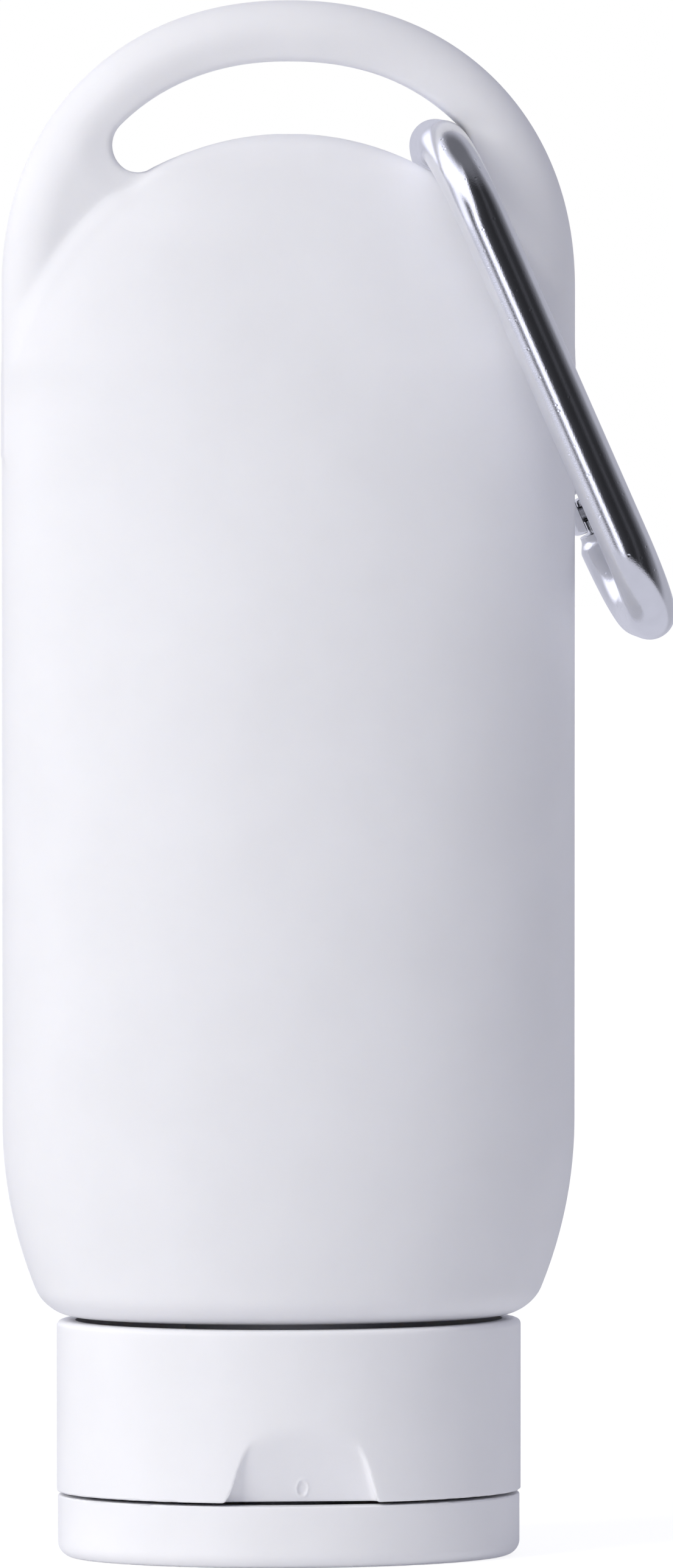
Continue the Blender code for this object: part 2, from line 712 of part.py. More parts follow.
def carabiner_gate():
    """The slotted tube that closes the loop."""
    wall = [(ROD_RADIUS - STUB_CHAMFER, -GATE_BOTTOM), (ROD_RADIUS, -GATE_BOTTOM + STUB_CHAMFER)]
    wall += [(ROD_RADIUS, -GATE_TOP + OVERRUN)]
    gate = turned("carabiner_gate", wall, ROD_SIDES, (0.0, LEG_Y))
    kept_inside(gate, slab_across("gate_outline", gate_outline(), ROD_RADIUS + OVERRUN))
    corner = math.hypot(HINGE_TONGUE_LENGTH, TONGUE_HEIGHT / 2)
    cut(gate, gate_slot("hinge_slot_cutter", GATE_TOP - OVERRUN, GATE_PIVOT + corner + FIT_GAP))
    cut(gate, gate_slot("nose_slot_cutter", NOSE_TIP - SLOT_END_ROOM, GATE_BOTTOM + OVERRUN))
    bore = [(GATE_BORE_RADIUS, -BORE_END), (GATE_BORE_RADIUS, -TONGUE_TIP)]
    cut(gate, turned("spring_bore_cutter", bore, SMALL_SIDES, (0.0, LEG_Y)))
    for name, place in (("hinge", GATE_PIVOT), ("latch", NOSE_PIN)):
        hole = RIVET_RADIUS + PIN_GAP
        reach = ROD_RADIUS + OVERRUN
        cut(gate, rod_across(f"{name}_rivet_cutter", hole, reach, LEG_Y, -place, SMALL_SIDES))
    gate.data.materials.append(finish_of("gate_aluminium", (0.80, 0.80, 0.82), 0.25, 1.0))
    return gate


def rivet(name, place):
    """A pin pressed across the gate, its ends just under the gate's skin."""
    pin = rod_across(name, RIVET_RADIUS, ROD_RADIUS - RIVET_SETBACK, LEG_Y, -place, SMALL_SIDES)
    pin.data.materials.append(finish_of(f"{name}_steel", (0.62, 0.62, 0.64), 0.3, 1.0))
    return pin


def spring_plunger():
    """The headed pin that the spring pushes against the hinge tongue."""
    tip = -PLUNGER_TIP
    under = tip - PLUNGER_HEAD_LENGTH
    profile = [(PLUNGER_STEM_RADIUS, under - PLUNGER_STEM_LENGTH), (PLUNGER_STEM_RADIUS, under)]
    profile += [(PLUNGER_HEAD_RADIUS, under), (PLUNGER_HEAD_RADIUS, tip)]
    plunger = turned("spring_plunger", profile, SMALL_SIDES, (0.0, LEG_Y))
    plunger.data.materials.append(finish_of("plunger_steel", (0.60, 0.60, 0.62), 0.35, 1.0))
    return plunger


def gate_spring():
    """A compression spring inside the gate, as one unbroken wire."""
    curve = bpy.data.curves.new("gate_spring", "CURVE")
    curve.dimensions = "3D"
    curve.bevel_depth = SPRING_WIRE_RADIUS
    curve.bevel_resolution = 1
    curve.use_fill_caps = True
    count = SPRING_TURNS * SPRING_STEPS
    wire = curve.splines.new("POLY")
    wire.points.add(count)
    for i in range(count + 1):
        angle = math.tau * i / SPRING_STEPS
        x = SPRING_RADIUS * math.cos(angle)
        y = LEG_Y + SPRING_RADIUS * math.sin(angle)
        wire.points[i].co = (x, y, -SPRING_START - SPRING_LENGTH * i / count, 1.0)
    spring = bpy.data.objects.new("gate_spring", curve)
    bpy.context.scene.collection.objects.link(spring)
    curve.materials.append(finish_of("spring_steel", (0.55, 0.55, 0.57), 0.3, 1.0))
    gap = SPRING_LENGTH / SPRING_TURNS - 2 * SPRING_WIRE_RADIUS
    print(f"gate spring: {1000 * gap:.2f} mm between its turns")
    return spring


def set_off(things, offset):
    """Moves pieces by an offset inside their parent's frame, so that the joint's axis is at the parent."""
    for thing in things:
        thing.location = offset


def build_bottle_and_closure():
    bottle()
    closure_base()
    living_hinge()
    axis = pivot("lid_hinge_axis", (0.0, HINGE_Y, HINGE_Z))
    lid = flip_lid()
    back = Vector((0.0, -HINGE_Y, -HINGE_Z))
    lid_pieces = [lid] + [modifier.object for modifier in lid.modifiers]
    hang(lid_pieces, axis)
    set_off(lid_pieces, back)


def build_carabiner():
    """The loop hangs from its swing axis, and the gate's pieces from the gate's own axis."""
    end_x, end_z = hole_end()
    swing = pivot("carabiner_swing_axis", (end_x, 0.0, end_z), -math.radians(LOOP_TILT_DEGREES))
    print(f"carabiner hangs at {end_x:.6f}, {end_z:.6f}")
    hook = carabiner_hook()
    hang([hook] + [modifier.object for modifier in hook.modifiers], swing)
    turn = pivot("gate_axis", (0.0, LEG_Y, -GATE_PIVOT), parent=swing)
    gate = carabiner_gate()
    pieces = [gate] + [modifier.object for modifier in gate.modifiers]
    pieces += [rivet("gate_hinge_pin", GATE_PIVOT), rivet("gate_latch_pin", NOSE_PIN)]
    pieces += [gate_spring(), spring_plunger()]
    hang(pieces, turn)
    set_off(pieces, Vector((0.0, -LEG_Y, GATE_PIVOT)))


clear_scene()
build_bottle_and_closure()
build_carabiner()
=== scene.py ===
# %% [markdown]
# # A sunscreen bottle on a key carabiner
# The object is a flat white squeeze bottle that stands on its lid. A carrying ring is moulded
# over its domed end, and an aluminium carabiner hangs in the ring. This lesson dresses the
# finished CAD frame: every solid gets a finer mesh and a procedural finish, and nothing moves.

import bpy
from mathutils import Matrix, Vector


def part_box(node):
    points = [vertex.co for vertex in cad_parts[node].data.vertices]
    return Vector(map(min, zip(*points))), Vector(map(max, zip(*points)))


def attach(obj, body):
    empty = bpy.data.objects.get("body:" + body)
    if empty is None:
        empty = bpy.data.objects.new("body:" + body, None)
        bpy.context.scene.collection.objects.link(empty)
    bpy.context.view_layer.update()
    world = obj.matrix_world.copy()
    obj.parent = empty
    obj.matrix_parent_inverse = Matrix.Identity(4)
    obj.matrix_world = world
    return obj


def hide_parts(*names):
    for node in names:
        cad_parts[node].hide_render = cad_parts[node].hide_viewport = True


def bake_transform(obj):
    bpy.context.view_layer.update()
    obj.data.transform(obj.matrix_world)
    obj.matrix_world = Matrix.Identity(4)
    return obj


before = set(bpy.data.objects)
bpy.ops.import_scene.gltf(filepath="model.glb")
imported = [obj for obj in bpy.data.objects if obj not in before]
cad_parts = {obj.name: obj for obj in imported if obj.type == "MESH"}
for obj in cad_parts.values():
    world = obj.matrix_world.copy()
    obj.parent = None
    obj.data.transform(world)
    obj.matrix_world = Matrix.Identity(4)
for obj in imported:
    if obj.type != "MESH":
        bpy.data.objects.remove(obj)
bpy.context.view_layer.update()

import math

import bmesh
import bpy
import numpy as np
from mathutils import Matrix, Vector

MM = 0.001

# %% [markdown]
# ## The camera
# The photograph was taken from far away with a long lens, a little from the left and from just
# above the bottle's height. The lens follows from the distance and from the height of the
# picture's frame, measured on the bottle's middle plane.

# %% Camera
FRAME_HEIGHT = 136.15 * MM
CAMERA_DISTANCE = 1650.0 * MM
CAMERA_HEIGHT = 150.0 * MM
CAMERA_TURN = math.radians(5.5)
FRAME_CENTRE = Vector((4.16 * MM, 0.0, 67.1 * MM))
SENSOR = 36.0


def add_camera():
    """A long lens, aimed at the middle of the photograph's frame."""
    data = bpy.data.cameras.new("camera")
    camera = bpy.data.objects.new("camera", data)
    bpy.context.scene.collection.objects.link(camera)
    back = Vector((-math.sin(CAMERA_TURN), -math.cos(CAMERA_TURN), 0.0)) * CAMERA_DISTANCE
    camera.location = Vector((FRAME_CENTRE.x + back.x, back.y, CAMERA_HEIGHT))
    aim = FRAME_CENTRE - camera.location
    camera.rotation_euler = aim.to_track_quat("-Z", "Y").to_euler()
    data.sensor_width = SENSOR
    data.lens = SENSOR * aim.length / FRAME_HEIGHT
    data.clip_start, data.clip_end = 0.1, 20.0
    bpy.context.scene.camera = camera
    return data.lens


print("lens:", round(add_camera()), "mm")

# %% [markdown]
# ## Shader maths as Python
# A finish is easier to read as an expression than as a list of nodes and links. One small class
# wraps a socket: its operators add Math nodes, and its one method adds any other node.


# %% A socket with operators
class Signal:
    """A shader socket that Python's operators work on."""

    def __init__(self, tree, socket=None):
        self.tree = tree
        self.socket = socket

    def node(self, kind, settings=None, inputs=None, output=0):
        """Adds a node: its settings first, then the values or links of its sockets."""
        made = self.tree.nodes.new(kind)
        for name, value in (settings or {}).items():
            if name == "stops":
                ramp = made.color_ramp.elements
                while len(ramp) < len(value):
                    ramp.new(1.0)
                for stop, (place, colour) in zip(ramp, value):
                    stop.position, stop.color = place, colour
            else:
                setattr(made, name, value)
        for key, value in (inputs or {}).items():
            if isinstance(value, Signal):
                self.tree.links.new(value.socket, made.inputs[key])
            else:
                made.inputs[key].default_value = value
        return Signal(self.tree, made.outputs[output])

    def maths(self, operation, first, second=0.0):
        return self.node("ShaderNodeMath", {"operation": operation}, {0: first, 1: second})

    def __add__(self, other):
        return self.maths("ADD", self, other)

    def __sub__(self, other):
        return self.maths("SUBTRACT", self, other)

    def __rsub__(self, other):
        return self.maths("SUBTRACT", other, self)

    def __mul__(self, other):
        return self.maths("MULTIPLY", self, other)

    __radd__ = __add__
    __rmul__ = __mul__

    def blend(self, first, second):
        """Goes from the first colour to the second as this signal goes from 0 to 1."""
        colours = {0: self, 6: first, 7: second}
        return self.node("ShaderNodeMix", {"data_type": "RGBA"}, colours, output=2)


# %% [markdown]
# ## A finish
# Every finish here is one Principled BSDF. Numbers that are the same all over go on the shader's
# own sockets, and what changes over the surface feeds colour, roughness and the normal.


# %% A Principled finish
def new_finish(name, **constants):
    """An empty Principled material, its shader and a signal to start expressions from."""
    material = bpy.data.materials.new(name)
    material.use_nodes = True
    print("finish:", name)
    shader = material.node_tree.nodes["Principled BSDF"]
    for key, value in constants.items():
        shader.inputs[key.replace("_", " ")].default_value = value
    return material, shader, Signal(material.node_tree)


def plug(shader, **signals):
    """Links signals to sockets of the shader."""
    for key, signal in signals.items():
        signal.tree.links.new(signal.socket, shader.inputs[key.replace("_", " ")])


def noise(graph, place, scale, detail=2.0, roughness=0.5):
    """Cloudy values about 0.5, with spots roughly 1 / scale metres across."""
    sockets = {"Vector": place, "Scale": scale, "Detail": detail, "Roughness": roughness}
    return graph.node("ShaderNodeTexNoise", {}, sockets)


def ramp(graph, value, low, high):
    """0 below low, 1 above high, straight between them."""
    ends = {"Value": value, "From Min": low, "From Max": high}
    return graph.node("ShaderNodeMapRange", {"clamp": True}, ends)


def bump(graph, height, depth):
    """A normal for a height signal whose 0 to 1 is depth metres."""
    sockets = {"Height": height, "Distance": depth, "Strength": 1.0}
    return graph.node("ShaderNodeBump", {}, sockets)


# %% [markdown]
# ## White plastic
# The bottle is blow-moulded polyethylene and the closure injection-moulded polypropylene. Both
# are white with a little blue, satin, and slightly clear at the surface, so light spreads under
# the skin. The skin has a fine mould grain, a slow waviness, and a few faint rubs. Noises of
# different sizes make all of these, because they need no unwrapping and never repeat.

# %% Plastic finishes
LIGHT_SPREAD, SPREAD_BY_COLOUR = 1.2 * MM, (1.0, 0.9, 0.75)
WAVE_SIZE, STAIN_SIZE, RUB_SIZE = 14.0 * MM, 9.0 * MM, 3.0 * MM
STAIN_DARKNESS = 0.965


def plastic(name, colour, roughness, grain_size, grain_depth, wave_depth, spread):
    """Satin moulded plastic with grain, slow waves, faint clouds and rubs."""
    material, shader, graph = new_finish(name, Subsurface_Weight=spread, IOR=1.5)
    shader.inputs["Subsurface Radius"].default_value = SPREAD_BY_COLOUR
    shader.inputs["Subsurface Scale"].default_value = LIGHT_SPREAD
    place = graph.node("ShaderNodeTexCoord", output=3)
    grain = noise(graph, place, 1.0 / grain_size, 3.0)
    wave = noise(graph, place, 1.0 / WAVE_SIZE, 1.0)
    cloud = noise(graph, place, 1.0 / STAIN_SIZE, 3.0)
    rub = ramp(graph, noise(graph, place, 1.0 / RUB_SIZE, 5.0, 0.7), 0.56, 0.74)
    darker = tuple(STAIN_DARKNESS * c for c in colour)
    tint = ramp(graph, cloud, 0.3, 0.7).blend((*darker, 1.0), (*colour, 1.0))
    sheen = roughness + 0.05 * (cloud - 0.5) + 0.06 * (grain - 0.5) + 0.07 * rub
    fine = bump(graph, grain, grain_depth)
    waves = bump(graph, wave, wave_depth)
    graph.tree.links.new(fine.socket, waves.socket.node.inputs["Normal"])
    plug(shader, Base_Color=tint, Roughness=sheen, Normal=waves)
    return material


BOTTLE_PLASTIC = plastic(
    "bottle_plastic", (0.865, 0.865, 0.89), roughness=0.42,
    grain_size=0.35 * MM, grain_depth=0.006 * MM, wave_depth=0.10 * MM, spread=0.25,
)
CLOSURE_PLASTIC = plastic(
    "closure_plastic", (0.89, 0.89, 0.915), roughness=0.36,
    grain_size=0.22 * MM, grain_depth=0.005 * MM, wave_depth=0.03 * MM, spread=0.15,
)

# %% [markdown]
# ## Tumbled aluminium
# The carabiner is bent from rod and tumbled with small stones until it shines. That leaves a
# bright surface with a fine, soft orange peel, which is why the edges of its reflections look
# grainy, and a few tiny dents. Both are far too small for a mesh, so a bump makes them. Pins
# and spring are duller steel without dents, from the same function.

# %% Metal finishes
CLOUD_SIZE, DENT_SPACING, DULLNESS = 2.5 * MM, 0.9 * MM, 0.93


def metal(name, colour, roughness, peel_size, peel_depth, dents):
    """Bright metal with a fine peel and, where dents is over 0, scattered small dents."""
    material, shader, graph = new_finish(name, Metallic=1.0)
    place = graph.node("ShaderNodeTexCoord", output=3)
    peel = noise(graph, place, 1.0 / peel_size, 2.0, 0.6)
    cloud = noise(graph, place, 1.0 / CLOUD_SIZE, 3.0)
    cells = graph.node("ShaderNodeTexVoronoi", {}, {"Vector": place, "Scale": 1.0 / DENT_SPACING})
    dent = 1.0 - ramp(graph, cells, 0.05, 0.16)
    dull = tuple(DULLNESS * c for c in colour)
    tint = ramp(graph, cloud, 0.3, 0.7).blend((*dull, 1.0), (*colour, 1.0))
    shine = roughness + 0.08 * (peel - 0.5) + 0.05 * (cloud - 0.5)
    normal = bump(graph, peel - dents * dent, peel_depth)
    plug(shader, Base_Color=tint, Roughness=shine, Normal=normal)
    return material


ALUMINIUM = metal("tumbled_aluminium", (0.90, 0.905, 0.92), 0.10, 0.10 * MM, 0.008 * MM, 1.4)
PIN_STEEL = metal("pin_steel", (0.66, 0.66, 0.68), 0.24, 0.12 * MM, 0.004 * MM, 0.0)
SPRING_STEEL = metal("spring_steel", (0.58, 0.58, 0.60), 0.28, 0.10 * MM, 0.004 * MM, 0.0)

# %% [markdown]
# ## Meshes from rows of points
# Most pieces are lofts: rings with the same number of points, joined by four-sided faces. A
# loft keeps its edge loops where the form turns, so highlights run smoothly along it. Here the
# points and faces of a form go from one function to the next as one pair, its shape.


# %% Loft helpers
SHARP_EDGE = math.radians(40.0)


def closed_mesh(name, shape):
    """A mesh whose faces all point out."""
    points, faces = shape
    mesh = bpy.data.meshes.new(name)
    mesh.from_pydata([tuple(p) for p in points], [], [tuple(f) for f in faces])
    work = bmesh.new()
    work.from_mesh(mesh)
    bmesh.ops.recalc_face_normals(work, faces=work.faces)
    work.to_mesh(mesh)
    work.free()
    return mesh


def mesh_object(name, shape, finish, body, node):
    """Makes a smooth-shaded object that stands for a CAD node and rides on its body."""
    mesh = closed_mesh(name, shape)
    mesh.shade_smooth()
    mesh.set_sharp_from_angle(angle=SHARP_EDGE)
    mesh.materials.append(finish)
    thing = bpy.data.objects.new(name, mesh)
    bpy.context.scene.collection.objects.link(thing)
    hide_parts(node)
    if body:
        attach(thing, body)
    print(f"{name}: {len(mesh.vertices)} points, {len(mesh.polygons)} faces")
    return thing


def loft(rings):
    """Points and faces through rings, with a fan of faces over both ends."""
    points = np.concatenate([np.asarray(ring, float) for ring in rings])
    count = len(rings[0])
    last = len(points) - count
    faces = []
    for low in range(0, last, count):
        high = low + count
        for i in range(count):
            j = (i + 1) % count
            faces.append((low + i, low + j, high + j, high + i))
    for start, turn in ((0, -1), (last, 1)):
        middle = len(points)
        points = np.vstack((points, points[start : start + count].mean(axis=0)))
        for i in range(count):
            pair = (start + i, start + (i + 1) % count)
            faces.append((*pair[::turn], middle))
    return points, faces


def circle(sides):
    """Cosines and sines of even steps all the way round."""
    angles = np.linspace(0, math.tau, sides, endpoint=False)
    return np.cos(angles), np.sin(angles)


def oval_ring(half_x, half_y, z, sides):
    """An oval of points at a height."""
    cos, sin = circle(sides)
    return np.stack((half_x * cos, half_y * sin, np.full(sides, z)), 1)


def smooth_step(value, low, high):
    """0 below low, 1 above high, with soft ends."""
    t = np.clip((value - low) / (high - low), 0.0, 1.0)
    return t * t * (3 - 2 * t)


def arc(centre, radius, start, end, steps):
    """Points of a round arc in a plane, angles in degrees."""
    angles = np.radians(np.linspace(start, end, steps + 1))
    return [(centre[0] + radius * math.cos(a), centre[1] + radius * math.sin(a)) for a in angles]


# %% [markdown]
# ## Meshes from a field
# The ring, the web and the dome of the bottle melt into each other. Joining solids leaves hard
# creases there, and sculpting is slow to repeat. Here a field gives each point its distance from
# the plastic's skin. Two fields meet in a round fillet by one formula, and the skin is found
# where the field changes sign on a grid: each cell that the skin crosses gets one point.


# %% Field helpers
def round_min(first, second, radius):
    """Joins two fields with a concave fillet."""
    inner = np.hypot(np.maximum(radius - first, 0.0), np.maximum(radius - second, 0.0))
    return np.maximum(np.minimum(first, second), radius) - inner


def round_max(first, second, radius):
    """Keeps what is inside both fields, with a rounded edge."""
    outer = np.hypot(np.maximum(radius + first, 0.0), np.maximum(radius + second, 0.0))
    return np.minimum(np.maximum(first, second), -radius) + outer


def slope_of(field, points, step=0.01 * MM):
    """The field's slope at points, by small steps both ways along each axis."""
    slope = np.empty_like(points)
    for axis in range(3):
        shift = np.zeros(3)
        shift[axis] = step
        slope[:, axis] = (field(points + shift) - field(points - shift)) / (2 * step)
    return slope


def settle(field, points, rounds=3, most=0.3 * MM, least=0.05):
    """Moves points along the slope until they lie on the skin, at most so far in one round."""
    for _ in range(rounds):
        slope = slope_of(field, points)
        size = np.maximum((slope**2).sum(axis=1), least)
        step = np.clip(field(points) / size, -most, most)
        points = points - slope * step[:, None]
    return points


def skin_of(field, lines):
    """Points and faces of the skin of a field, on a grid with the given lines along x, y and z."""
    grid = np.stack(np.meshgrid(*lines, indexing="ij"), -1)
    value = field(grid.reshape(-1, 3)).reshape(grid.shape[:3])
    cells = np.array(value.shape) - 1
    total = np.zeros((cells.prod(), 3))
    hits = np.zeros(cells.prod())
    quads = []
    for axis in range(3):
        side, other = [a for a in range(3) if a != axis]
        low = np.take(value, range(value.shape[axis] - 1), axis)
        high = np.take(value, range(1, value.shape[axis]), axis)
        spot = np.argwhere((low < 0) != (high < 0))
        start, end = low[tuple(spot.T)], high[tuple(spot.T)]
        share = start / (start - end)
        place = np.stack([lines[k][spot[:, k]] for k in range(3)], 1)
        place[:, axis] += share * (lines[axis][spot[:, axis] + 1] - lines[axis][spot[:, axis]])
        corners, inside = [], np.ones(len(spot), bool)
        for a, b in ((0, 0), (-1, 0), (-1, -1), (0, -1)):
            cell = spot.copy()
            cell[:, side] += a
            cell[:, other] += b
            fits = ((cell >= 0) & (cell < cells)).all(axis=1)
            index = np.ravel_multi_index(np.clip(cell, 0, cells - 1).T, cells)
            np.add.at(total, index[fits], place[fits])
            np.add.at(hits, index[fits], 1)
            corners.append(index)
            inside &= fits
        face = np.stack(corners, 1)
        flip = (start < 0) == (axis == 1)
        face[flip] = face[flip][:, ::-1]
        quads.append(face[inside])
    used = np.flatnonzero(hits)
    number = np.full(len(hits), -1)
    number[used] = np.arange(len(used))
    points = settle(field, total[used] / hits[used][:, None])
    return points, number[np.concatenate(quads)]


def grid_line(*stretches):
    """Grid lines from (start, end, spacing) stretches in millimetres, close where a form turns."""
    line = [stretches[0][0]]
    for start, end, spacing in stretches:
        count = max(round((end - start) / spacing), 1)
        line += list(start + (end - start) * (i + 1) / count for i in range(count))
    return np.array(line) * MM


def mirrored(half):
    """Grid lines on both sides of zero."""
    return np.concatenate((-half[:0:-1], half))


# %% [markdown]
# ## Solids that add and cut
# Bores, sockets and slots are cut with plain solids, as a mould or a drill would make them.
# Blender's Boolean modifier does the cutting, and its result replaces the mesh at once.


# %% Solid helpers
def tool(shape):
    """A plain solid that adds to another piece or cuts it."""
    thing = bpy.data.objects.new("tool", closed_mesh("tool", shape))
    bpy.context.scene.collection.objects.link(thing)
    return thing


def combine(thing, *steps):
    """Adds solids or cuts them away, in order, and leaves one mesh."""
    for operation, part in steps:
        boolean = thing.modifiers.new(operation.lower(), "BOOLEAN")
        boolean.operation, boolean.solver, boolean.object = operation, "MANIFOLD", part
    bpy.context.view_layer.update()
    graph = bpy.context.evaluated_depsgraph_get()
    mesh = bpy.data.meshes.new_from_object(thing.evaluated_get(graph), depsgraph=graph)
    thing.modifiers.clear()
    thing.data = mesh
    for _, part in steps:
        bpy.data.objects.remove(part)
    mesh.shade_smooth()
    mesh.set_sharp_from_angle(angle=SHARP_EDGE)
    print(f"{thing.name}: {len(mesh.vertices)} points when combined")
    return thing


def turned(profile, sides=96):
    """Points and faces of (radius, height) millimetres turned round the Z axis."""
    return loft([oval_ring(radius, radius, height, sides) * MM for radius, height in profile])


def box_solid(low, high):
    """Points and faces of a box between two corners, in millimetres."""
    corners = [(low[0], low[1]), (high[0], low[1]), (high[0], high[1]), (low[0], high[1])]
    return loft([np.array([(x, y, z) for x, y in corners]) * MM for z in (low[2], high[2])])


# %% [markdown]
# ## The bottle
# The body starts as the closure's oval, swells to the bulge, and thins towards its domed end.
# Its two faces run with a soft crease into a flat sheet, 6 mm thick, that is ring and web in
# one and rounds over to the bottle's outline. The crescent hole is cut from that sheet, above
# the dome. A blow mould closes in the middle plane and leaves a fine parting line. The form
# could be sculpted, but a field keeps both halves alike and every size can be set by itself.

# %% Body field
BODY_LOW, BODY_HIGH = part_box("bottle")
HALF_WIDTH = BODY_HIGH.x
HALF_DEPTH = BODY_HIGH.y
BODY_BASE = 20.9 * MM
BULGE_Z, BULGE_RADIUS = 38.0 * MM, 38.7 * MM
DOME_Z, DOME_RISE = 98.5 * MM, 25.05 * MM
CREST_DEPTH, CREST_RISE, TAPER_POWER = 13.2 * MM, 8.0 * MM, 2.8
DOME_TOP = DOME_Z + DOME_RISE
CREST_Z = DOME_TOP - CREST_RISE
BASE_ROUND, DOME_ROUND = 2.4 * MM, 0.8 * MM
BULGE_DEPTH_SHARE = 0.30
WEB_HALF = 3.0 * MM
BURIED_SHARE, BURIED_RISE = 0.75, 6.0 * MM
EDGE_START, EDGE_FULL = DOME_Z + 1.0 * MM, DOME_Z + 9.0 * MM
TINY, LEAST_SHARE, MOST_SHARE = 1e-9, 0.01, 0.998


def body_section(z, inset=0.0):
    """Half width and half depth of the body at each height, moved inwards by a wall."""
    under = np.minimum(z - BULGE_Z, 0.0)
    drop = BULGE_RADIUS - np.sqrt(np.maximum(BULGE_RADIUS**2 - under**2, MM**2))
    taper = np.maximum((z - BULGE_Z) / (CREST_Z - BULGE_Z), 0.0) ** TAPER_POWER
    over = np.clip((z - CREST_Z) / (CREST_RISE - inset), 0.0, MOST_SHARE)
    depth = HALF_DEPTH - inset + (CREST_DEPTH / 2 - HALF_DEPTH) * taper - BULGE_DEPTH_SHARE * drop
    return HALF_WIDTH - inset - drop, np.maximum(depth, MM) * np.sqrt(1 - over**2)


def oval_distance(x, y, half_x, half_y):
    """Nearly the distance to an ellipse."""
    u, v = x / half_x, y / half_y
    size = np.sqrt(u**2 + v**2) + TINY
    slope = np.hypot(u / half_x, v / half_y) / size
    return (size - 1) / np.maximum(slope, TINY)


def dome_distance(x, z):
    """Distance to the outline of the body seen from the front."""
    above = np.maximum(z - DOME_Z, 0.0)
    return oval_distance(np.abs(x), above, HALF_WIDTH, DOME_RISE)


def body_field(points):
    """The body alone: two faces that bury their edge in the web, cut to the dome's outline."""
    x, y, z = points.T
    half_x, half_y = body_section(z)
    above = np.maximum(z - DOME_Z, 0.0) / DOME_RISE
    half_x = half_x * np.sqrt(np.maximum(1 - above**2, LEAST_SHARE))
    buried = np.minimum(WEB_HALF / half_y, BURIED_SHARE) * smooth_step(z, DOME_Z, DOME_Z + BURIED_RISE)
    faces = oval_distance(x, y, half_x / np.sqrt(1 - buried**2), half_y)
    rounding = DOME_ROUND * smooth_step(z, EDGE_START, EDGE_FULL) + TINY
    domed = round_max(faces, dome_distance(x, z), rounding)
    return round_max(domed, BODY_BASE - z, BASE_ROUND)


# %% [markdown]
# Seen from the front, the sheet ends at the bottle's outline: straight sides that bend over the
# top as a rounded arch. How far a point lies inside that outline gives the ring's rounding, and
# where the hole begins. That is easier than a swept bar, which would need its own corner fills.

# %% Ring, web and hole fields
RING_Z, RING_RISE, RING_POWER = 110.0 * MM, 25.1 * MM, 2.14
RING_SIDE, RING_TOP = 4.8 * MM, 5.3 * MM
RING_CREST, PLATE_LOW = 3.9 * MM, 96.0 * MM
HOLE_X, HOLE_Z, HOLE_RADIUS = 13.064 * MM, 122.611 * MM, 2.4 * MM
HOLE_TURN, HOLE_FOOT_TURN = math.radians(43.2), math.radians(70.0)
HOLE_ROUND, HOLE_SLOPE, HOLE_REACH, DOME_OVERLAP = 0.6 * MM, 0.28 * MM, 3.2 * MM, 2.0 * MM
WEB_FILLET, NECK_FILLET = 1.2 * MM, 0.4 * MM
PARTING_HEIGHT, PARTING_HALF = 0.05 * MM, 0.12 * MM


def ring_fields(x, z):
    """Distance in from the bottle's outline, and the ring's thickness there, seen from the front."""
    above = np.maximum(z - RING_Z, 0.0)
    u, v = np.abs(x) / HALF_WIDTH, above / RING_RISE
    size = (u**RING_POWER + v**RING_POWER + TINY) ** (1 / RING_POWER)
    ease, power = size ** (1 - RING_POWER), RING_POWER - 1
    slope = np.hypot(ease * u**power / HALF_WIDTH, ease * v**power / RING_RISE)
    inwards = (1 - size) / np.maximum(slope, TINY)
    return inwards, RING_SIDE + (RING_TOP - RING_SIDE) * (v / size) ** RING_POWER


def hole_distance(x, z, within):
    """Distance to the crescent hole: a round end on each side and the band between them."""
    dx, dz = np.abs(x) - HOLE_X, z - HOLE_Z
    end = np.hypot(dx, dz) - HOLE_RADIUS
    turn = np.where(dz < 0, HOLE_FOOT_TURN, HOLE_TURN)
    across = dx * np.sin(turn) - dz * np.cos(turn)
    over_dome = -DOME_OVERLAP - dome_distance(x, z)
    return np.minimum(end, np.maximum(np.maximum(across, over_dome), -within))


def bottle_skin(points):
    """The whole bottle: body, web with its hole, ring, neck and parting line."""
    x, y, z = points.T
    inwards, thick = ring_fields(x, z)
    hole = hole_distance(x, z, inwards - thick)
    beside = smooth_step(hole, 0.0, HOLE_REACH)
    rounded = oval_distance(inwards - RING_CREST, y, RING_CREST, WEB_HALF)
    plate = np.where(inwards < RING_CREST, rounded, np.abs(y) - WEB_HALF) + HOLE_SLOPE * (1 - beside)
    web = round_max(np.maximum(plate, PLATE_LOW - z), -hole, HOLE_ROUND)
    blown = round_min(body_field(points), web, WEB_FILLET * beside + TINY)
    blown = round_min(blown, neck_distance(x, y, z), NECK_FILLET)
    blown = np.maximum(blown, np.abs(x) - HALF_WIDTH)
    return blown + PARTING_HEIGHT * (1 - np.exp(-((y / PARTING_HALF) ** 2)))


# %% [markdown]
# The neck is hidden in the closure: a short tube with a bead that the closure snaps over. The
# inside of the bottle is a second, smaller body, taken away with a Boolean, so that the mesh is
# a real blown shell with a wall of a little over a millimetre.

# %% Neck, cavity and bottle mesh
NECK_RADIUS, NECK_BORE, NECK_RIM = 9.0 * MM, 7.5 * MM, BODY_LOW.z
BEAD_Z, BEAD_RISE, BEAD_HALF = 12.9 * MM, 0.6 * MM, 0.9 * MM
WALL, OVERRUN, BORE_TOP = 1.2 * MM, 1.0 * MM, BODY_BASE + 0.6 * MM
CAVITY_ROWS, ROW_POWER = 60, 1.7
CORNER_RISE, CORNER_INSET = 1.5 * MM, 1.4 * MM


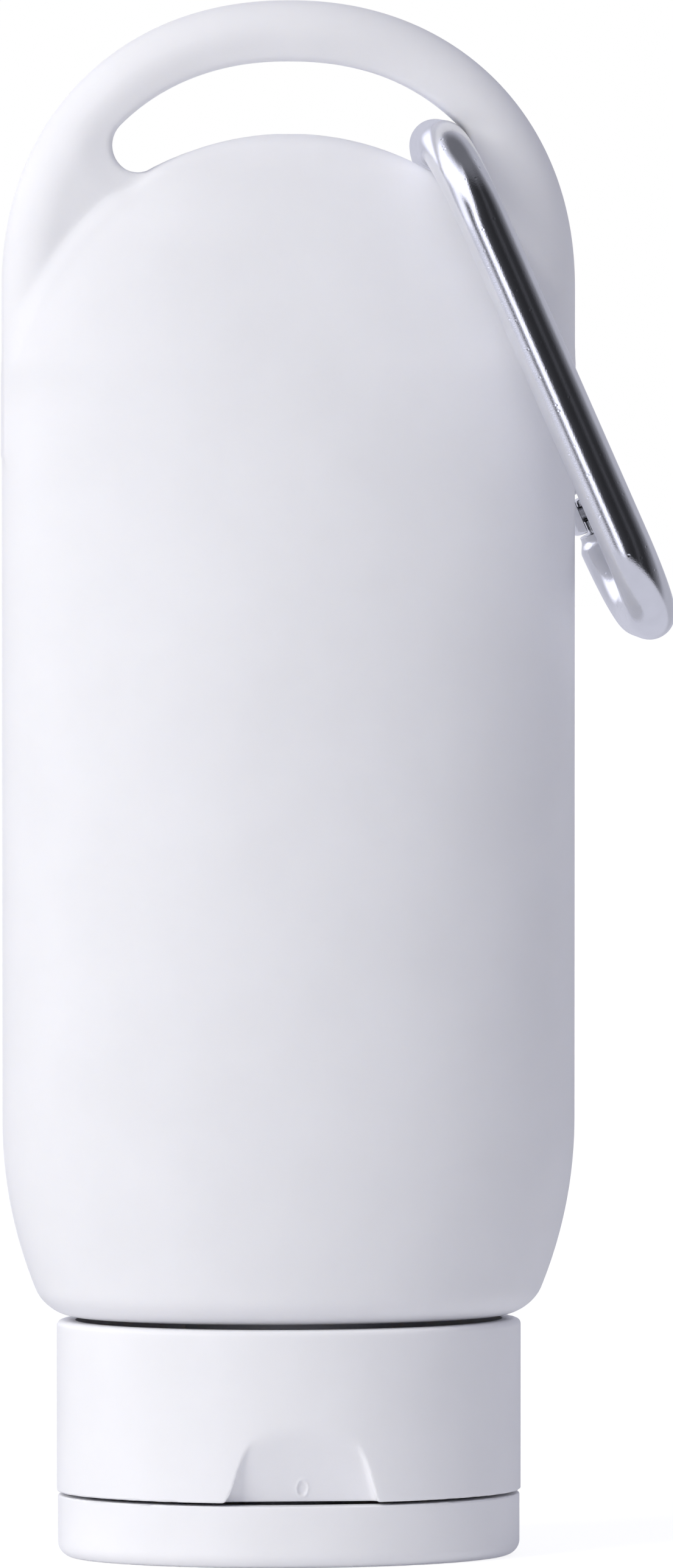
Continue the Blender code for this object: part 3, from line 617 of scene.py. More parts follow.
def neck_distance(x, y, z):
    """Distance to the tube of the neck, with its snap bead."""
    swell = BEAD_RISE * (1 - smooth_step(np.abs(z - BEAD_Z), BEAD_HALF / 3, BEAD_HALF))
    tube = np.hypot(x, y) - NECK_RADIUS - swell
    return np.maximum(np.maximum(tube, NECK_RIM - z), z - BODY_BASE - WALL)


def cavity_rings(sides=96):
    """Rings of the inside, from below the neck's rim up to a point under the crest."""
    ends = (NECK_RIM - OVERRUN, BORE_TOP)
    rings = [oval_ring(NECK_BORE, NECK_BORE, z, sides) for z in ends]
    low, high = BODY_BASE + WALL, DOME_TOP - WALL
    for share in np.linspace(0, 1, CAVITY_ROWS)[:-1]:
        z = low + (high - low) * (1 - (1 - share) ** ROW_POWER)
        half_x, half_y = (float(v) for v in body_section(np.array(z), WALL))
        lift = min((z - low) / CORNER_RISE, 1.0)
        corner = CORNER_INSET * (1 - math.sqrt(1 - (1 - lift) ** 2))
        above = max(z - DOME_Z, 0.0) / (DOME_RISE - WALL)
        wide = half_x * math.sqrt(1 - above**2) - corner
        rings.append(oval_ring(wide, half_y - corner, z, sides))
    return rings


def make_bottle():
    across = mirrored(grid_line((0, 10, 0.5), (10, 25.2, 0.4)))
    deep = mirrored(grid_line((0, 0.15, 0.05), (0.15, 0.5, 0.12), (0.5, 5.5, 0.36), (5.5, 16, 0.6)))
    tall = grid_line((6.9, 20, 0.6), (20, 24, 0.3), (24, 98, 0.9), (98, 135.7, 0.36))
    shape = skin_of(bottle_skin, (across, deep, tall))
    shell = mesh_object("bottle_shell", shape, BOTTLE_PLASTIC, None, "bottle")
    combine(shell, ("DIFFERENCE", tool(loft(cavity_rings()))))
    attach(shell, "bottle")


make_bottle()


# %% [markdown]
# ## The closure
# The closure is moulded in one shot: an oval cup with the deck and spout inside it, a skirt that
# snaps over the neck, and a thumb recess in front. The mould leaves small rounded edges and a
# small oval mark in the recess, a shallow dent with a raised rim. The outside is a field again,
# because its edges round by one formula. The round fittings inside are added and cut as turned
# solids, which are quicker to make.

# %% Closure field
CLOSURE_LOW, CLOSURE_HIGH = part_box("closure_base")
SEAM_HIGH, SEAM_LOW = 5.7 * MM, 5.4 * MM
CLOSURE_X, CLOSURE_Y = CLOSURE_HIGH.x, -CLOSURE_LOW.y
RIM_ROUND, EDGE_ROUND = 0.5 * MM, 0.12 * MM
RECESS_HALF, RECESS_DEPTH, RECESS_HEIGHT, RECESS_DRAFT = 6.45 * MM, 2.0 * MM, 6.3 * MM, 1.8 * MM
RECESS_FILLET, LIP_ROUND, CORNER_FLARE = 0.55 * MM, 0.16 * MM, 0.4 * MM
MARK_Z, MARK_HALF, MARK_TALL = 6.9 * MM, 0.48 * MM, 0.74 * MM
MARK_DENT, MARK_RIDGE, MARK_FLAT_SHARE = 0.09 * MM, 0.05 * MM, 0.55
RIDGE_PLACE_SHARE, RIDGE_HALF_SHARE, FLARE_RISE = 1.05, 0.16, 0.6 * MM
POCKET_HALF, POCKET_FLOOR, POCKET_REACH = 6.3 * MM, 13.15 * MM, 2.3 * MM
SEAM_MIDDLE = (SEAM_LOW + SEAM_HIGH) / 2


def recess_distance(x, y, z):
    """Distance to the thumb recess: a sloping back between slanted sides, the left one flared."""
    up = (z - SEAM_HIGH) / RECESS_HEIGHT
    flare = CORNER_FLARE * np.exp(-np.maximum(z - SEAM_HIGH, 0) / FLARE_RISE) * (x < 0)
    side = np.abs(x) - RECESS_HALF + RECESS_DRAFT * up - flare
    side = side / math.hypot(1, RECESS_DRAFT / RECESS_HEIGHT)
    mark = np.hypot(x / MARK_HALF, (z - MARK_Z) / MARK_TALL)
    dent = MARK_DENT * (1 - smooth_step(mark, MARK_FLAT_SHARE, 1.0))
    ridge = MARK_RIDGE * np.exp(-(((mark - RIDGE_PLACE_SHARE) / RIDGE_HALF_SHARE) ** 2))
    back = y + CLOSURE_Y - RECESS_DEPTH * (1 - up) - (dent - ridge)
    back = back / math.hypot(1, RECESS_DEPTH / RECESS_HEIGHT)
    return round_max(side, back, RECESS_FILLET)


def hinge_pocket(x, y, z):
    """Distance to the flat pocket at the back that takes one half of the hinge strap."""
    sides = np.maximum(np.abs(x) - POCKET_HALF, np.abs(z - SEAM_MIDDLE) - POCKET_REACH)
    return np.maximum(sides, POCKET_FLOOR - y)


def closure_skin(points):
    """The outside of the cup, with the thumb recess in front and the hinge pocket behind."""
    x, y, z = points.T
    wall = oval_distance(x, y, CLOSURE_X, CLOSURE_Y)
    cup = round_max(wall, z - CLOSURE_HIGH.z, RIM_ROUND)
    cup = round_max(cup, SEAM_HIGH - z, EDGE_ROUND)
    cup = round_max(cup, -recess_distance(x, y, z), LIP_ROUND)
    return round_max(cup, -hinge_pocket(x, y, z), EDGE_ROUND)


# %% Closure mesh
CUP_WALL, CUP_FLOOR, FLOOR_ROUND, CUP_OPEN, CUP_SIDES = 1.6, 7.1, 0.4, 21.5, 160
INNER_X, INNER_Y = CLOSURE_X / MM - CUP_WALL, CLOSURE_Y / MM - CUP_WALL
BACKING_LOW, BACKING_HIGH = (-7.65, -15.0, 6.0), (7.65, -11.0, 13.2)
# Outlines as (radius, height) in millimetres: the spout, the skirt with the groove for the
# neck's bead, and the plug seal. Then the orifice, with its rounded lip.
FITTING = [(3.5, 3.2), (3.7, 3.28), (3.8, 3.5), (3.8, 5.2), (3.88, 5.45), (4.1, 5.65), (4.5, 5.75)]
FITTING += [(4.5, 6.1), (10.5, 6.1), (10.5, 18.9), (10.3, 19.1), (9.5, 19.1), (9.3, 18.9)]
FITTING += [(9.3, 14.1), (9.9, 13.2), (9.9, 12.6), (9.3, 11.7), (9.3, 6.8), (7.2, 6.8)]
FITTING += [(7.2, 9.8), (6.9, 10.1), (6.4, 10.1), (6.2, 9.8), (6.2, 6.8)]
ORIFICE = [(2.7, 3.0), (2.62, 3.2), (2.42, 3.28), (2.3, 3.5), (2.3, 7.5)]


def cup_space():
    """The space inside the cup, less a block of plastic that stays behind the thumb recess."""
    # At the floor the rings go to the full oval first and then back down the rounding, so the
    # skin folds over itself in that hidden corner.
    small_x, small_y = INNER_X - FLOOR_ROUND, INNER_Y - FLOOR_ROUND
    sizes = [(small_x, small_y, CUP_FLOOR)]
    for out, down in arc((0, 0), FLOOR_ROUND, 90, 0, 4)[:0:-1]:
        sizes.append((small_x + out, small_y + out, CUP_FLOOR + FLOOR_ROUND - down))
    sizes.append((INNER_X, INNER_Y, CUP_OPEN))
    rings = [oval_ring(*size, CUP_SIDES) * MM for size in sizes]
    backing = tool(box_solid(BACKING_LOW, BACKING_HIGH))
    return combine(tool(loft(rings)), ("DIFFERENCE", backing))


def make_closure():
    across = mirrored(grid_line((0, 0.7, 0.1), (0.7, 4.6, 0.45), (4.6, 7.1, 0.13), (7.1, 20.6, 0.5)))
    front = grid_line((-14.4, -11.9, 0.13), (-11.9, 12.9, 0.8), (12.9, 14.4, 0.12))
    low = ((5.45, 6.0, 0.07), (6.0, 8.1, 0.12), (8.1, 12.5, 0.22))
    tall = grid_line(*low, (12.5, 19.9, 0.8), (19.9, 20.8, 0.1))
    shape = skin_of(closure_skin, (across, front, tall))
    cup = mesh_object("closure_cup", shape, CLOSURE_PLASTIC, None, "closure_base")
    fitting, orifice = tool(turned(FITTING)), tool(turned(ORIFICE))
    combine(cup, ("DIFFERENCE", cup_space()), ("UNION", fitting), ("DIFFERENCE", orifice))
    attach(cup, "bottle")


make_closure()

# %% [markdown]
# ## The lid
# The lid is a shallow oval tray of the same plastic, with its flat side down. A short pin inside
# plugs the orifice. A loft could make the tray, but a field with the closure's own oval lets
# both rims line up all the way round and rounds the pin's foot into the floor.

# %% Lid
LID_LOW, LID_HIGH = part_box("flip_lid")
LID_X, LID_Y = LID_HIGH.x, -LID_LOW.y
LID_WALL, LID_FLOOR, LID_EDGE = 2.2 * MM, 1.6 * MM, 1.3 * MM
PIN_RADIUS, PIN_TIP = 2.05 * MM, 4.4 * MM
TRAY_ROUND, PIN_ROUND, PIN_FILLET = 0.5 * MM, 0.35 * MM, 0.3 * MM


def lid_skin(points):
    """The tray with its rounded floor, the pin, and the pocket for the hinge strap."""
    x, y, z = points.T
    tray = round_max(oval_distance(x, y, LID_X, LID_Y), -z, LID_EDGE)
    tray = round_max(tray, z - SEAM_LOW, EDGE_ROUND)
    inside = oval_distance(x, y, LID_X - LID_WALL, LID_Y - LID_WALL)
    tray = round_max(tray, -round_max(inside, LID_FLOOR - z, TRAY_ROUND), EDGE_ROUND)
    pin = round_max(np.hypot(x, y) - PIN_RADIUS, z - PIN_TIP, PIN_ROUND)
    tray = round_min(tray, np.maximum(pin, LID_FLOOR / 2 - z), PIN_FILLET)
    return round_max(tray, -hinge_pocket(x, y, z), EDGE_ROUND)


def make_lid():
    middle = ((0, 2.8, 0.2), (2.8, 5.8, 0.6), (5.8, 6.8, 0.12))
    across = mirrored(grid_line(*middle, (6.8, 17, 0.9), (17, 20.4, 0.22)))
    back = grid_line((0, 2.8, 0.2), (2.8, 11.4, 0.8), (11.4, 14.4, 0.14))
    low = ((-0.1, 2.0, 0.13), (2.0, 4.0, 0.4), (4.0, 4.6, 0.1))
    tall = grid_line(*low, (4.6, 5.1, 0.2), (5.1, 5.6, 0.07))
    shape = skin_of(lid_skin, (across, mirrored(back), tall))
    mesh_object("lid_tray", shape, CLOSURE_PLASTIC, "lid", "flip_lid")


make_lid()

# %% [markdown]
# ## The living hinge
# A thin strap of the same plastic joins the two halves at the back. It is thinnest in the middle,
# where it folds. It is a loft with its rows close together there.

# %% Living hinge
HINGE_LOW, HINGE_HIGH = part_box("living_hinge")
HINGE_Y = 13.7 * MM
HINGE_HALF, HINGE_THICK, FOLD_THICK, FOLD_HALF = 6.0 * MM, 0.25 * MM, 0.15 * MM, 0.4 * MM
HINGE_CORNER, FOLD_FLAT, NEARLY = 0.1 * MM, 0.1 * MM, 0.999


def strap_ring(z):
    """A flat section with rounded corners, thinner near the fold."""
    up = abs(z - SEAM_MIDDLE)
    thick = FOLD_THICK + (HINGE_THICK - FOLD_THICK) * float(smooth_step(up, FOLD_FLAT, FOLD_HALF))
    end = min(HINGE_HIGH.z - z, z - HINGE_LOW.z)
    rounding = HINGE_CORNER * (1 - math.sqrt(max(1 - (1 - min(end / HINGE_CORNER, 1)) ** 2, 0.0)))
    ring = []
    reach_x, reach_y = HINGE_HALF - HINGE_CORNER - rounding, thick - HINGE_CORNER
    for side_x, side_y, start in ((1, 1, 0), (-1, 1, 90), (-1, -1, 180), (1, -1, 270)):
        middle = (side_x * reach_x, side_y * reach_y)
        ring += arc(middle, HINGE_CORNER - rounding * NEARLY, start, start + 90, 4)
    return np.array([(x, HINGE_Y + y, z) for x, y in ring])


def make_hinge():
    low, high, fold = HINGE_LOW.z, HINGE_HIGH.z, SEAM_MIDDLE
    ends = [0, 0.02 * MM, 0.05 * MM, 0.1 * MM]
    lower = [low + d for d in ends] + list(np.linspace(low + 0.4 * MM, fold - 0.6 * MM, 4))
    middle = list(np.linspace(fold - 0.45 * MM, fold + 0.45 * MM, 19))
    upper = list(np.linspace(fold + 0.6 * MM, high - 0.4 * MM, 4)) + [high - d for d in ends[::-1]]
    shape = loft([strap_ring(z) for z in lower + middle + upper])
    strap = mesh_object("hinge_strap", shape, CLOSURE_PLASTIC, None, "living_hinge")
    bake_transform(strap)


make_hinge()

# %% [markdown]
# ## The carabiner's hook
# One rod of aluminium is bent into a closed loop with a gap for the gate. Its ends are milled to
# flat tongues: one carries the gate's hinge pin, the other has a notch for the latch pin. The
# mesh follows the rod, ring by ring, from one tongue round the loop to the other.

# %% Carabiner's own frame
HANG_ANGLE = math.radians(23.85)
LOOP_PLACE = Matrix.Translation((HOLE_X, 0.0, HOLE_Z)) @ Matrix.Rotation(-HANG_ANGLE, 4, "Y")
# In millimetres: X is square to the loop's plane, Y goes across the loop and Z up along it.
# Places on Z are given as how far they lie below the rod's middle in the top bend.
ROD, LEG_Y, LOOP_LENGTH, BEND = 2.15, 10.35, 44.6, 7.2
STUB_END, SHOULDER_ROUND = 7.5, 0.3
GATE_PIVOT, GATE_BOTTOM = 10.2, 36.85
NOSE_TIP, NOSE_PIN, HINGE_TIP = 33.9, 35.2, 11.7
TONGUE_X, TONGUE_Y, PIN_HOLE = 0.80, 1.3, 0.72
NECK, NECK_ROUND, NECK_START, NECK_FALL = 1.68, 0.12, 38.6, 1.2
TIP_ROUND, TIP_INSET, TIP_FALL, FALL_SHARE, TONGUE_SQUARENESS = 0.2, 0.55, 1.3, 0.8, 9.0
# How far each ring of the tongue's foot is from the shoulder, and how much wider than the tongue.
FOOT_STEPS = ((0.30, 0.0), (0.14, 0.03), (0.05, 0.09), (0.0, 0.2))
FOOT_SQUARENESS, FLAT_EDGE = 8.0, 0.04
NOTCH_REACH, CUT_REACH = 2.6, 2.0


def placed(points):
    """Takes points in millimetres from the carabiner's own frame to where it hangs."""
    turn = np.array(LOOP_PLACE.to_3x3())
    return np.asarray(points, float) * MM @ turn.T + np.array(LOOP_PLACE.translation)


def across_solid(outline, reach):
    """Points and faces of a plate with a (y, z) outline, reaching as far to both sides along X."""
    rings = [placed([(x, y, z) for y, z in outline]) for x in (-reach, reach)]
    return loft(rings)


# %% Hook mesh
def rod_ring(y, z, along, sides=48):
    """A round section of the rod, square to its direction in the loop's plane."""
    cos, sin = circle(sides)
    out = ROD * cos
    return np.stack((ROD * sin, y - along[1] * out, z + along[0] * out), 1)


def end_ring(half_x, half_y, z, power=2.0, sides=48):
    """A section at the loop's ends: round at a power of 2, nearly square at a high one."""
    cos, sin = circle(sides)
    x = half_x * np.sign(sin) * np.abs(sin) ** (2 / power)
    y = LEG_Y - half_y * np.sign(cos) * np.abs(cos) ** (2 / power)
    return np.stack((x, y, np.full(sides, z)), 1)


def tongue_rings(root, tip, rounded, radius, rounding):
    """Rings from a tongue's tip to the shoulder that it stands on."""
    way = 1 if root > tip else -1
    rings = []
    for s in (0.0, 0.04, 0.1, TIP_ROUND):
        inset = TIP_ROUND - math.sqrt(max(TIP_ROUND**2 - (TIP_ROUND - s) ** 2, 0.0))
        sizes = (TONGUE_X - inset, TONGUE_Y - inset - rounded * TIP_INSET)
        rings.append(end_ring(*sizes, tip + way * s, TONGUE_SQUARENESS))
    for s in np.linspace(0.45, TIP_FALL, 6):
        drop = TONGUE_Y - math.sqrt(TONGUE_Y**2 - max(TIP_FALL - s, 0) ** 2)
        fall = rounded * drop * FALL_SHARE
        rings.append(end_ring(TONGUE_X, TONGUE_Y - fall, tip + way * s, TONGUE_SQUARENESS))
    for d, wide in FOOT_STEPS:
        power = FOOT_SQUARENESS - 20 * wide
        rings.append(end_ring(TONGUE_X + wide, TONGUE_Y + wide, root - way * d, power))
    flat = radius - rounding
    rings.append(end_ring(flat - FLAT_EDGE, flat - FLAT_EDGE, root))
    for out, up in arc((0, 0), rounding, 90, 0, 5)[:-1]:
        rings.append(end_ring(flat + out, flat + out, root + way * (rounding - up)))
    return rings


def bend_rings(y, z, start, steps=24):
    """A quarter of the loop round one corner."""
    rings = []
    for angle in np.radians(np.linspace(start, start + 90, steps + 1)):
        cos, sin = math.cos(angle), math.sin(angle)
        rings.append(rod_ring(y + BEND * cos, z + BEND * sin, (-sin, cos)))
    return rings


def drawn_in(rings):
    """Narrows the rings near the nose to its neck."""
    narrowed = []
    for ring in rings:
        middle = ring.mean(axis=0)
        share = float(smooth_step(middle[2], -NECK_START, -NECK_START + NECK_FALL))
        narrowed.append(middle + (ring - middle) * (1 - share * (1 - NECK / ROD)))
    return narrowed


def make_hook():
    """The bent rod with its two tongues, the latch notch and the hinge pin's hole."""
    side, low = LEG_Y - BEND, -LOOP_LENGTH + BEND
    rings = tongue_rings(-STUB_END, -HINGE_TIP, 1.0, ROD, SHOULDER_ROUND)
    rings += bend_rings(side, -BEND, 0) + bend_rings(-side, -BEND, 90)
    rings += [rod_ring(-LEG_Y, z, (0, -1)) for z in np.linspace(-BEND, low, 26)[1:-1]]
    rings += bend_rings(-side, low, 180) + drawn_in(bend_rings(side, low, 270, 60))
    rings += tongue_rings(-LOOP_LENGTH + STUB_END, -NOSE_TIP, 0.0, NECK, NECK_ROUND)[::-1]
    points, faces = loft(rings)
    shape = (placed(points), faces)
    hook = mesh_object("carabiner_rod", shape, ALUMINIUM, None, "carabiner_hook")
    notch = arc((LEG_Y, -NOSE_PIN), PIN_HOLE, -90, 90, 16)
    notch += [(LEG_Y - NOTCH_REACH, -NOSE_PIN + way * PIN_HOLE) for way in (1, -1)]
    hole = arc((LEG_Y, -GATE_PIVOT), PIN_HOLE, 0, 345, 23)
    steps = [("DIFFERENCE", tool(across_solid(cut, CUT_REACH))) for cut in (notch, hole)]
    combine(hook, *steps)
    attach(hook, "carabiner")


make_hook()

# %% [markdown]
# ## The gate
# The gate is turned from the same rod, drilled for its spring, and slotted at both ends. Its upper
# end is rounded about the hinge pin so that it can turn. A field takes all of this at once, and
# the mesh keeps the field's own slopes as normals, which makes the reflections run clean.

# %% Gate
GATE_HEAD, HEAD_ROUND, FOOT_ROUND, FAR = 2.3, 0.18, 0.5, 9.0
SLOT_HALF, SLOT_ROUND, HINGE_SLOT_FOOT, NOSE_SLOT_TOP = 0.95, 0.1, 12.49, 33.3
BORE, SPRING_BORE_TOP, SPRING_BORE_FOOT, PIN_EDGE = 1.35, 11.7, 25.2, 0.05


def gate_skin(points):
    """The gate in the carabiner's frame: a tube with a round head, two slots, a bore, two holes."""
    x, y, z = points.T / MM
    y = y - LEG_Y
    tube = np.hypot(x, y) - ROD
    head = np.hypot(y, z + GATE_PIVOT) - GATE_HEAD
    ends = np.where(z > -GATE_PIVOT, head, -FAR)
    body = round_max(round_max(tube, ends, HEAD_ROUND), -GATE_BOTTOM - z, FOOT_ROUND)
    slots = np.minimum(-HINGE_SLOT_FOOT - z, z + NOSE_SLOT_TOP)
    body = round_max(body, -np.maximum(np.abs(x) - SLOT_HALF, slots), SLOT_ROUND)
    bore = np.maximum(z + SPRING_BORE_TOP, -SPRING_BORE_FOOT - z)
    body = np.maximum(body, -np.maximum(np.hypot(x, y) - BORE, bore))
    for place in (GATE_PIVOT, NOSE_PIN):
        body = round_max(body, -(np.hypot(y, z + place) - PIN_HOLE), PIN_EDGE)
    return body * MM


def make_gate():
    side = mirrored(grid_line((0, 0.7, 0.175), (0.7, 1.1, 0.1), (1.1, 2.3, 0.15)))
    low = ((-37.1, -32.9, 0.13), (-32.9, -26, 0.6), (-26, -24.6, 0.2))
    tall = grid_line(*low, (-24.6, -13, 0.6), (-13, -7.7, 0.13))
    points, faces = skin_of(gate_skin, (side, side + LEG_Y * MM, tall))
    slopes = slope_of(gate_skin, points, 0.004 * MM)
    turn = np.array(LOOP_PLACE.to_3x3())
    normals = slopes @ turn.T
    normals /= np.maximum(np.linalg.norm(normals, axis=1), TINY)[:, None]
    shape = (placed(points / MM), faces)
    gate = mesh_object("gate_tube", shape, ALUMINIUM, None, "carabiner_gate")
    gate.data.normals_split_custom_set_from_vertices(normals.tolist())
    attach(gate, "gate")


make_gate()

# %% [markdown]
# ## Pins, plunger and spring
# Two steel pins are pressed across the gate, one as its hinge and one that drops into the nose.
# In the gate's bore a small coil spring pushes a headed plunger against the hinge tongue. All
# are lofts: outlines turned round an axis, and for the spring a ring of wire swept along a helix.

# %% Small steel pieces
PIN_SIDES = 40
COIL_RADIUS, WIRE_RADIUS, SPRING_TOP, SPRING_LENGTH = 0.85, 0.2, 13.7, 10.8


def make_pin(name, node, place):
    """A pin along X with slightly domed, rounded ends."""
    profile = [(0.2, 2.115), (0.38, 2.105), (0.5, 2.08), (0.57, 2.03), (0.6, 1.95)]
    profile = [(r, -h) for r, h in profile] + [(0.6, h) for h in (-1.0, 0.0, 1.0)] + profile[::-1]
    cos, sin = circle(PIN_SIDES)
    rings = []
    for r, h in profile:
        ring = (np.full(PIN_SIDES, h), LEG_Y + r * cos, -place + r * sin)
        rings.append(placed(np.stack(ring, 1)))
    mesh_object(name, loft(rings), PIN_STEEL, "gate", node)


def make_plunger():
    """A thin stem that guides the spring, and the head that it pushes."""
    stem = [(0.25, -18.7), (0.36, -18.66), (0.4, -18.55), (0.4, -13.3), (0.45, -13.2)]
    head = [(0.95, -13.2), (1.02, -13.17), (1.05, -13.1), (1.05, -12.15), (1.0, -12.05)]
    points, faces = turned(stem + head + [(0.85, -12.01), (0.4, -12.0)], PIN_SIDES)
    shape = (placed(np.array(points) / MM + np.array((0, LEG_Y, 0))), faces)
    mesh_object("plunger", shape, PIN_STEEL, "gate", "spring_plunger")


def make_spring():
    """A helix of round wire, swept ring by ring."""
    turns, per_turn, sides = 6, 32, 12
    steps, radius = turns * per_turn, COIL_RADIUS
    wire = [math.tau * k / sides for k in range(sides)]
    rise = -SPRING_LENGTH / turns
    rings = []
    for i in range(steps + 1):
        angle = math.tau * i / per_turn
        out = Vector((math.cos(angle), math.sin(angle), 0.0))
        along = Vector((-out.y * radius * math.tau, out.x * radius * math.tau, rise)).normalized()
        up = along.cross(out)
        height = -SPRING_TOP - SPRING_LENGTH * i / steps
        middle = Vector((radius * out.x, LEG_Y + radius * out.y, height))
        ring = [middle + WIRE_RADIUS * (out * math.cos(a) + up * math.sin(a)) for a in wire]
        rings.append([tuple(point) for point in ring])
    points, faces = loft(rings)
    shape = (placed(points), faces)
    mesh_object("spring_wire", shape, SPRING_STEEL, "gate", "gate_spring")


make_pin("hinge_rivet", "gate_hinge_pin", GATE_PIVOT)
make_pin("latch_rivet", "gate_latch_pin", NOSE_PIN)
make_plunger()
make_spring()

# %% [markdown]
# ## The room
# The photograph has a pure white background and soft light that comes mostly from the left. A
# pale room, a little brighter above, fills the shadows. Metal shows what stands round it: the
# bands along the carabiner are two white panels at the left with a dark gap between them, a
# black front, and the pale wall behind. Planes could stand there, but they would shade the
# bottle, so the room shows these panels to mirror rays only, by direction, which suits any view.
# The lamp is hidden from mirror rays, so the light that the metal throws from it on to the
# plastic is missing. Brighter panels stand in for it when the ray began on a matt surface.

# %% Room
ROOM_LIGHT, TOP_SHARE = 0.33, 0.55
ROOM_TINT = (0.945, 0.955, 1.11)
GLINT = 1.2  # the share that is added to the panels for mirror rays from a matt surface
# What a mirror shows at the height of the eye: degrees to the right of the front, brightness.
PANELS = (
    (-180, 0.66), (-128, 0.56), (-92, 0.56), (-80, 1.15), (-67, 1.2), (-60, 0.72), (-53, 0.14),
    (-44, 0.10), (-38, 0.85), (-32, 1.5), (-23, 1.5), (-18, 0.12), (-10, 0.05), (5, 0.03),
    (22, 0.022), (32, 0.058), (38, 0.06), (44, 0.03), (62, 0.028), (75, 0.08), (95, 0.22),
    (112, 0.48), (150, 0.48), (180, 0.66),
)
CEILING, SHEET, UPPER_PANEL = 0.16, 0.64, 1.3
# Where these begin and where they are full, in the direction's part to the right or upwards.
PANEL_EDGE, PANEL_FOOT = (-0.25, -0.45), (0.05, 0.2)
CEILING_EDGE, SHEET_EDGE = (0.70, 0.92), (-0.38, -0.46)
WHITE = (1.0, 1.0, 1.0, 1.0)


def grey(level):
    return (level, level, level, 1.0)


def mirrored_room(graph, direction):
    """Brightness of the room in a mirror, by direction."""
    parts = graph.node("ShaderNodeSeparateXYZ", {}, {0: direction}).socket.node
    right, back, up = (Signal(graph.tree, parts.outputs[axis]) for axis in range(3))
    turn = graph.maths("ARCTAN2", right, 0.0 - back)
    place = ramp(graph, turn, -math.pi, math.pi)
    stops = [((angle + 180) / 360, grey(level)) for angle, level in PANELS]
    level = graph.node("ShaderNodeValToRGB", {"stops": stops}, {0: place})
    left_panel = ramp(graph, right, *PANEL_EDGE) * ramp(graph, up, *PANEL_FOOT)
    level = left_panel.blend(level, grey(UPPER_PANEL))
    level = ramp(graph, up, *CEILING_EDGE).blend(level, grey(CEILING))
    return ramp(graph, up, *SHEET_EDGE).blend(level, grey(SHEET))


def make_room():
    """White where the camera or a clear piece looks past the object, grey where it lights it."""
    world = bpy.data.worlds.new("room")
    world.use_nodes = True
    bpy.context.scene.world = world
    graph = Signal(world.node_tree)
    path = graph.node("ShaderNodeLightPath").socket.node
    names = ("Is Camera Ray", "Is Glossy Ray", "Is Transmission Ray", "Diffuse Depth")
    camera, mirrored_ray, through, bounces = (Signal(graph.tree, path.outputs[name]) for name in names)
    direction = graph.node("ShaderNodeTexCoord")
    parts = graph.node("ShaderNodeSeparateXYZ", {}, {0: direction}).socket.node
    lit = ROOM_LIGHT + ROOM_LIGHT * TOP_SHARE * Signal(graph.tree, parts.outputs[2])
    plain = camera + through
    thrown = 1.0 + GLINT * graph.maths("MINIMUM", bounces, 1.0)
    level = mirrored_ray.blend(lit, thrown * mirrored_room(graph, direction))
    tint = plain.blend((*ROOM_TINT, 1.0), WHITE)
    level = plain.blend(level, WHITE)
    background = world.node_tree.nodes["Background"]
    shade = {"data_type": "RGBA", "blend_type": "MULTIPLY"}
    colour = graph.node("ShaderNodeMix", shade, {0: 1.0, 6: level, 7: tint}, output=2)
    graph.tree.links.new(colour.socket, background.inputs["Color"])
    print("room:", len(world.node_tree.nodes), "nodes,", len(PANELS), "levels in its mirror image")


make_room()

# %% [markdown]
# ## The lamp
# One large soft box stands at the left in front and shapes the bottle. A large lamp is chosen
# because it shades the round faces softly, as the photograph does.

# %% Lamp
LAMP_POWER, LAMP_COLOUR = 58.0, (1.0, 0.99, 0.93)
LAMP_WIDTH, LAMP_HEIGHT = 1.30, 2.16
LAMP_PLACE, LAMP_TARGET = Vector((-2.02, -1.40, 1.65)), Vector((0.0, 0.0, 0.07))


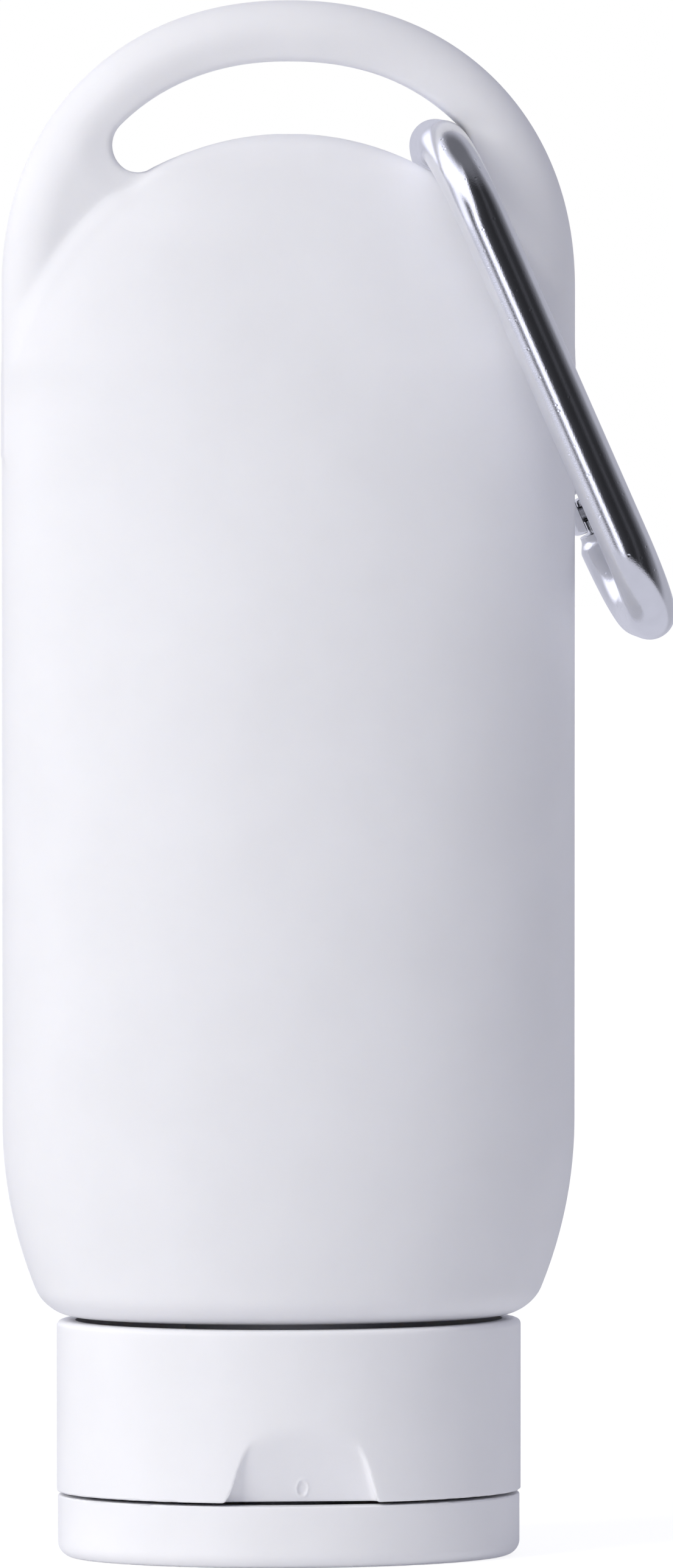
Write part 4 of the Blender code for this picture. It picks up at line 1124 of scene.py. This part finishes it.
def add_lamp():
    """An upright soft box that faces the bottle."""
    data = bpy.data.lights.new("key", "AREA")
    data.shape, data.size, data.size_y = "RECTANGLE", LAMP_WIDTH, LAMP_HEIGHT
    data.energy, data.color = LAMP_POWER, LAMP_COLOUR
    lamp = bpy.data.objects.new("key", data)
    bpy.context.scene.collection.objects.link(lamp)
    lamp.location = LAMP_PLACE
    lamp.rotation_euler = (LAMP_TARGET - LAMP_PLACE).to_track_quat("-Z", "Y").to_euler()
    lamp.visible_glossy = False


add_lamp()
print("lamp:", LAMP_POWER, "W")

# %% [markdown]
# ## The floor
# The bottle stands on a pale sheet that is lit to white. For the camera most of its colour is
# plain white, and the rest is lit, so that the soft shadow at the lid's foot stays.

# %% Floor
FLOOR_HALF, FLOOR_COLOUR = 2.0, (0.96, 0.96, 0.96, 1.0)
FLOOR_GLOW, FLOOR_STRENGTH = 0.60, 1.36


def make_floor():
    material, shader, graph = new_finish("pale_sheet", Roughness=0.9, IOR=1.3)
    shader.inputs["Base Color"].default_value = FLOOR_COLOUR
    glow = graph.node("ShaderNodeEmission", {}, {"Color": WHITE, "Strength": FLOOR_STRENGTH})
    path = graph.node("ShaderNodeLightPath").socket.node
    camera = Signal(graph.tree, path.outputs["Is Camera Ray"])
    lit = Signal(graph.tree, shader.outputs[0])
    mix = graph.node("ShaderNodeMixShader", {}, {0: camera * FLOOR_GLOW, 1: lit, 2: glow})
    output = material.node_tree.nodes["Material Output"]
    graph.tree.links.new(mix.socket, output.inputs["Surface"])
    corners = [(-1, -1), (1, -1), (1, 1), (-1, 1)]
    mesh = bpy.data.meshes.new("floor")
    mesh.from_pydata([(x * FLOOR_HALF, y * FLOOR_HALF, 0.0) for x, y in corners], [], [(0, 1, 2, 3)])
    mesh.materials.append(material)
    floor = bpy.data.objects.new("floor", mesh)
    bpy.context.scene.collection.objects.link(floor)
    floor.visible_glossy = False
    print("floor:", 2 * FLOOR_HALF, "m wide")


make_floor()
bpy.context.scene.view_settings.view_transform = "Standard"
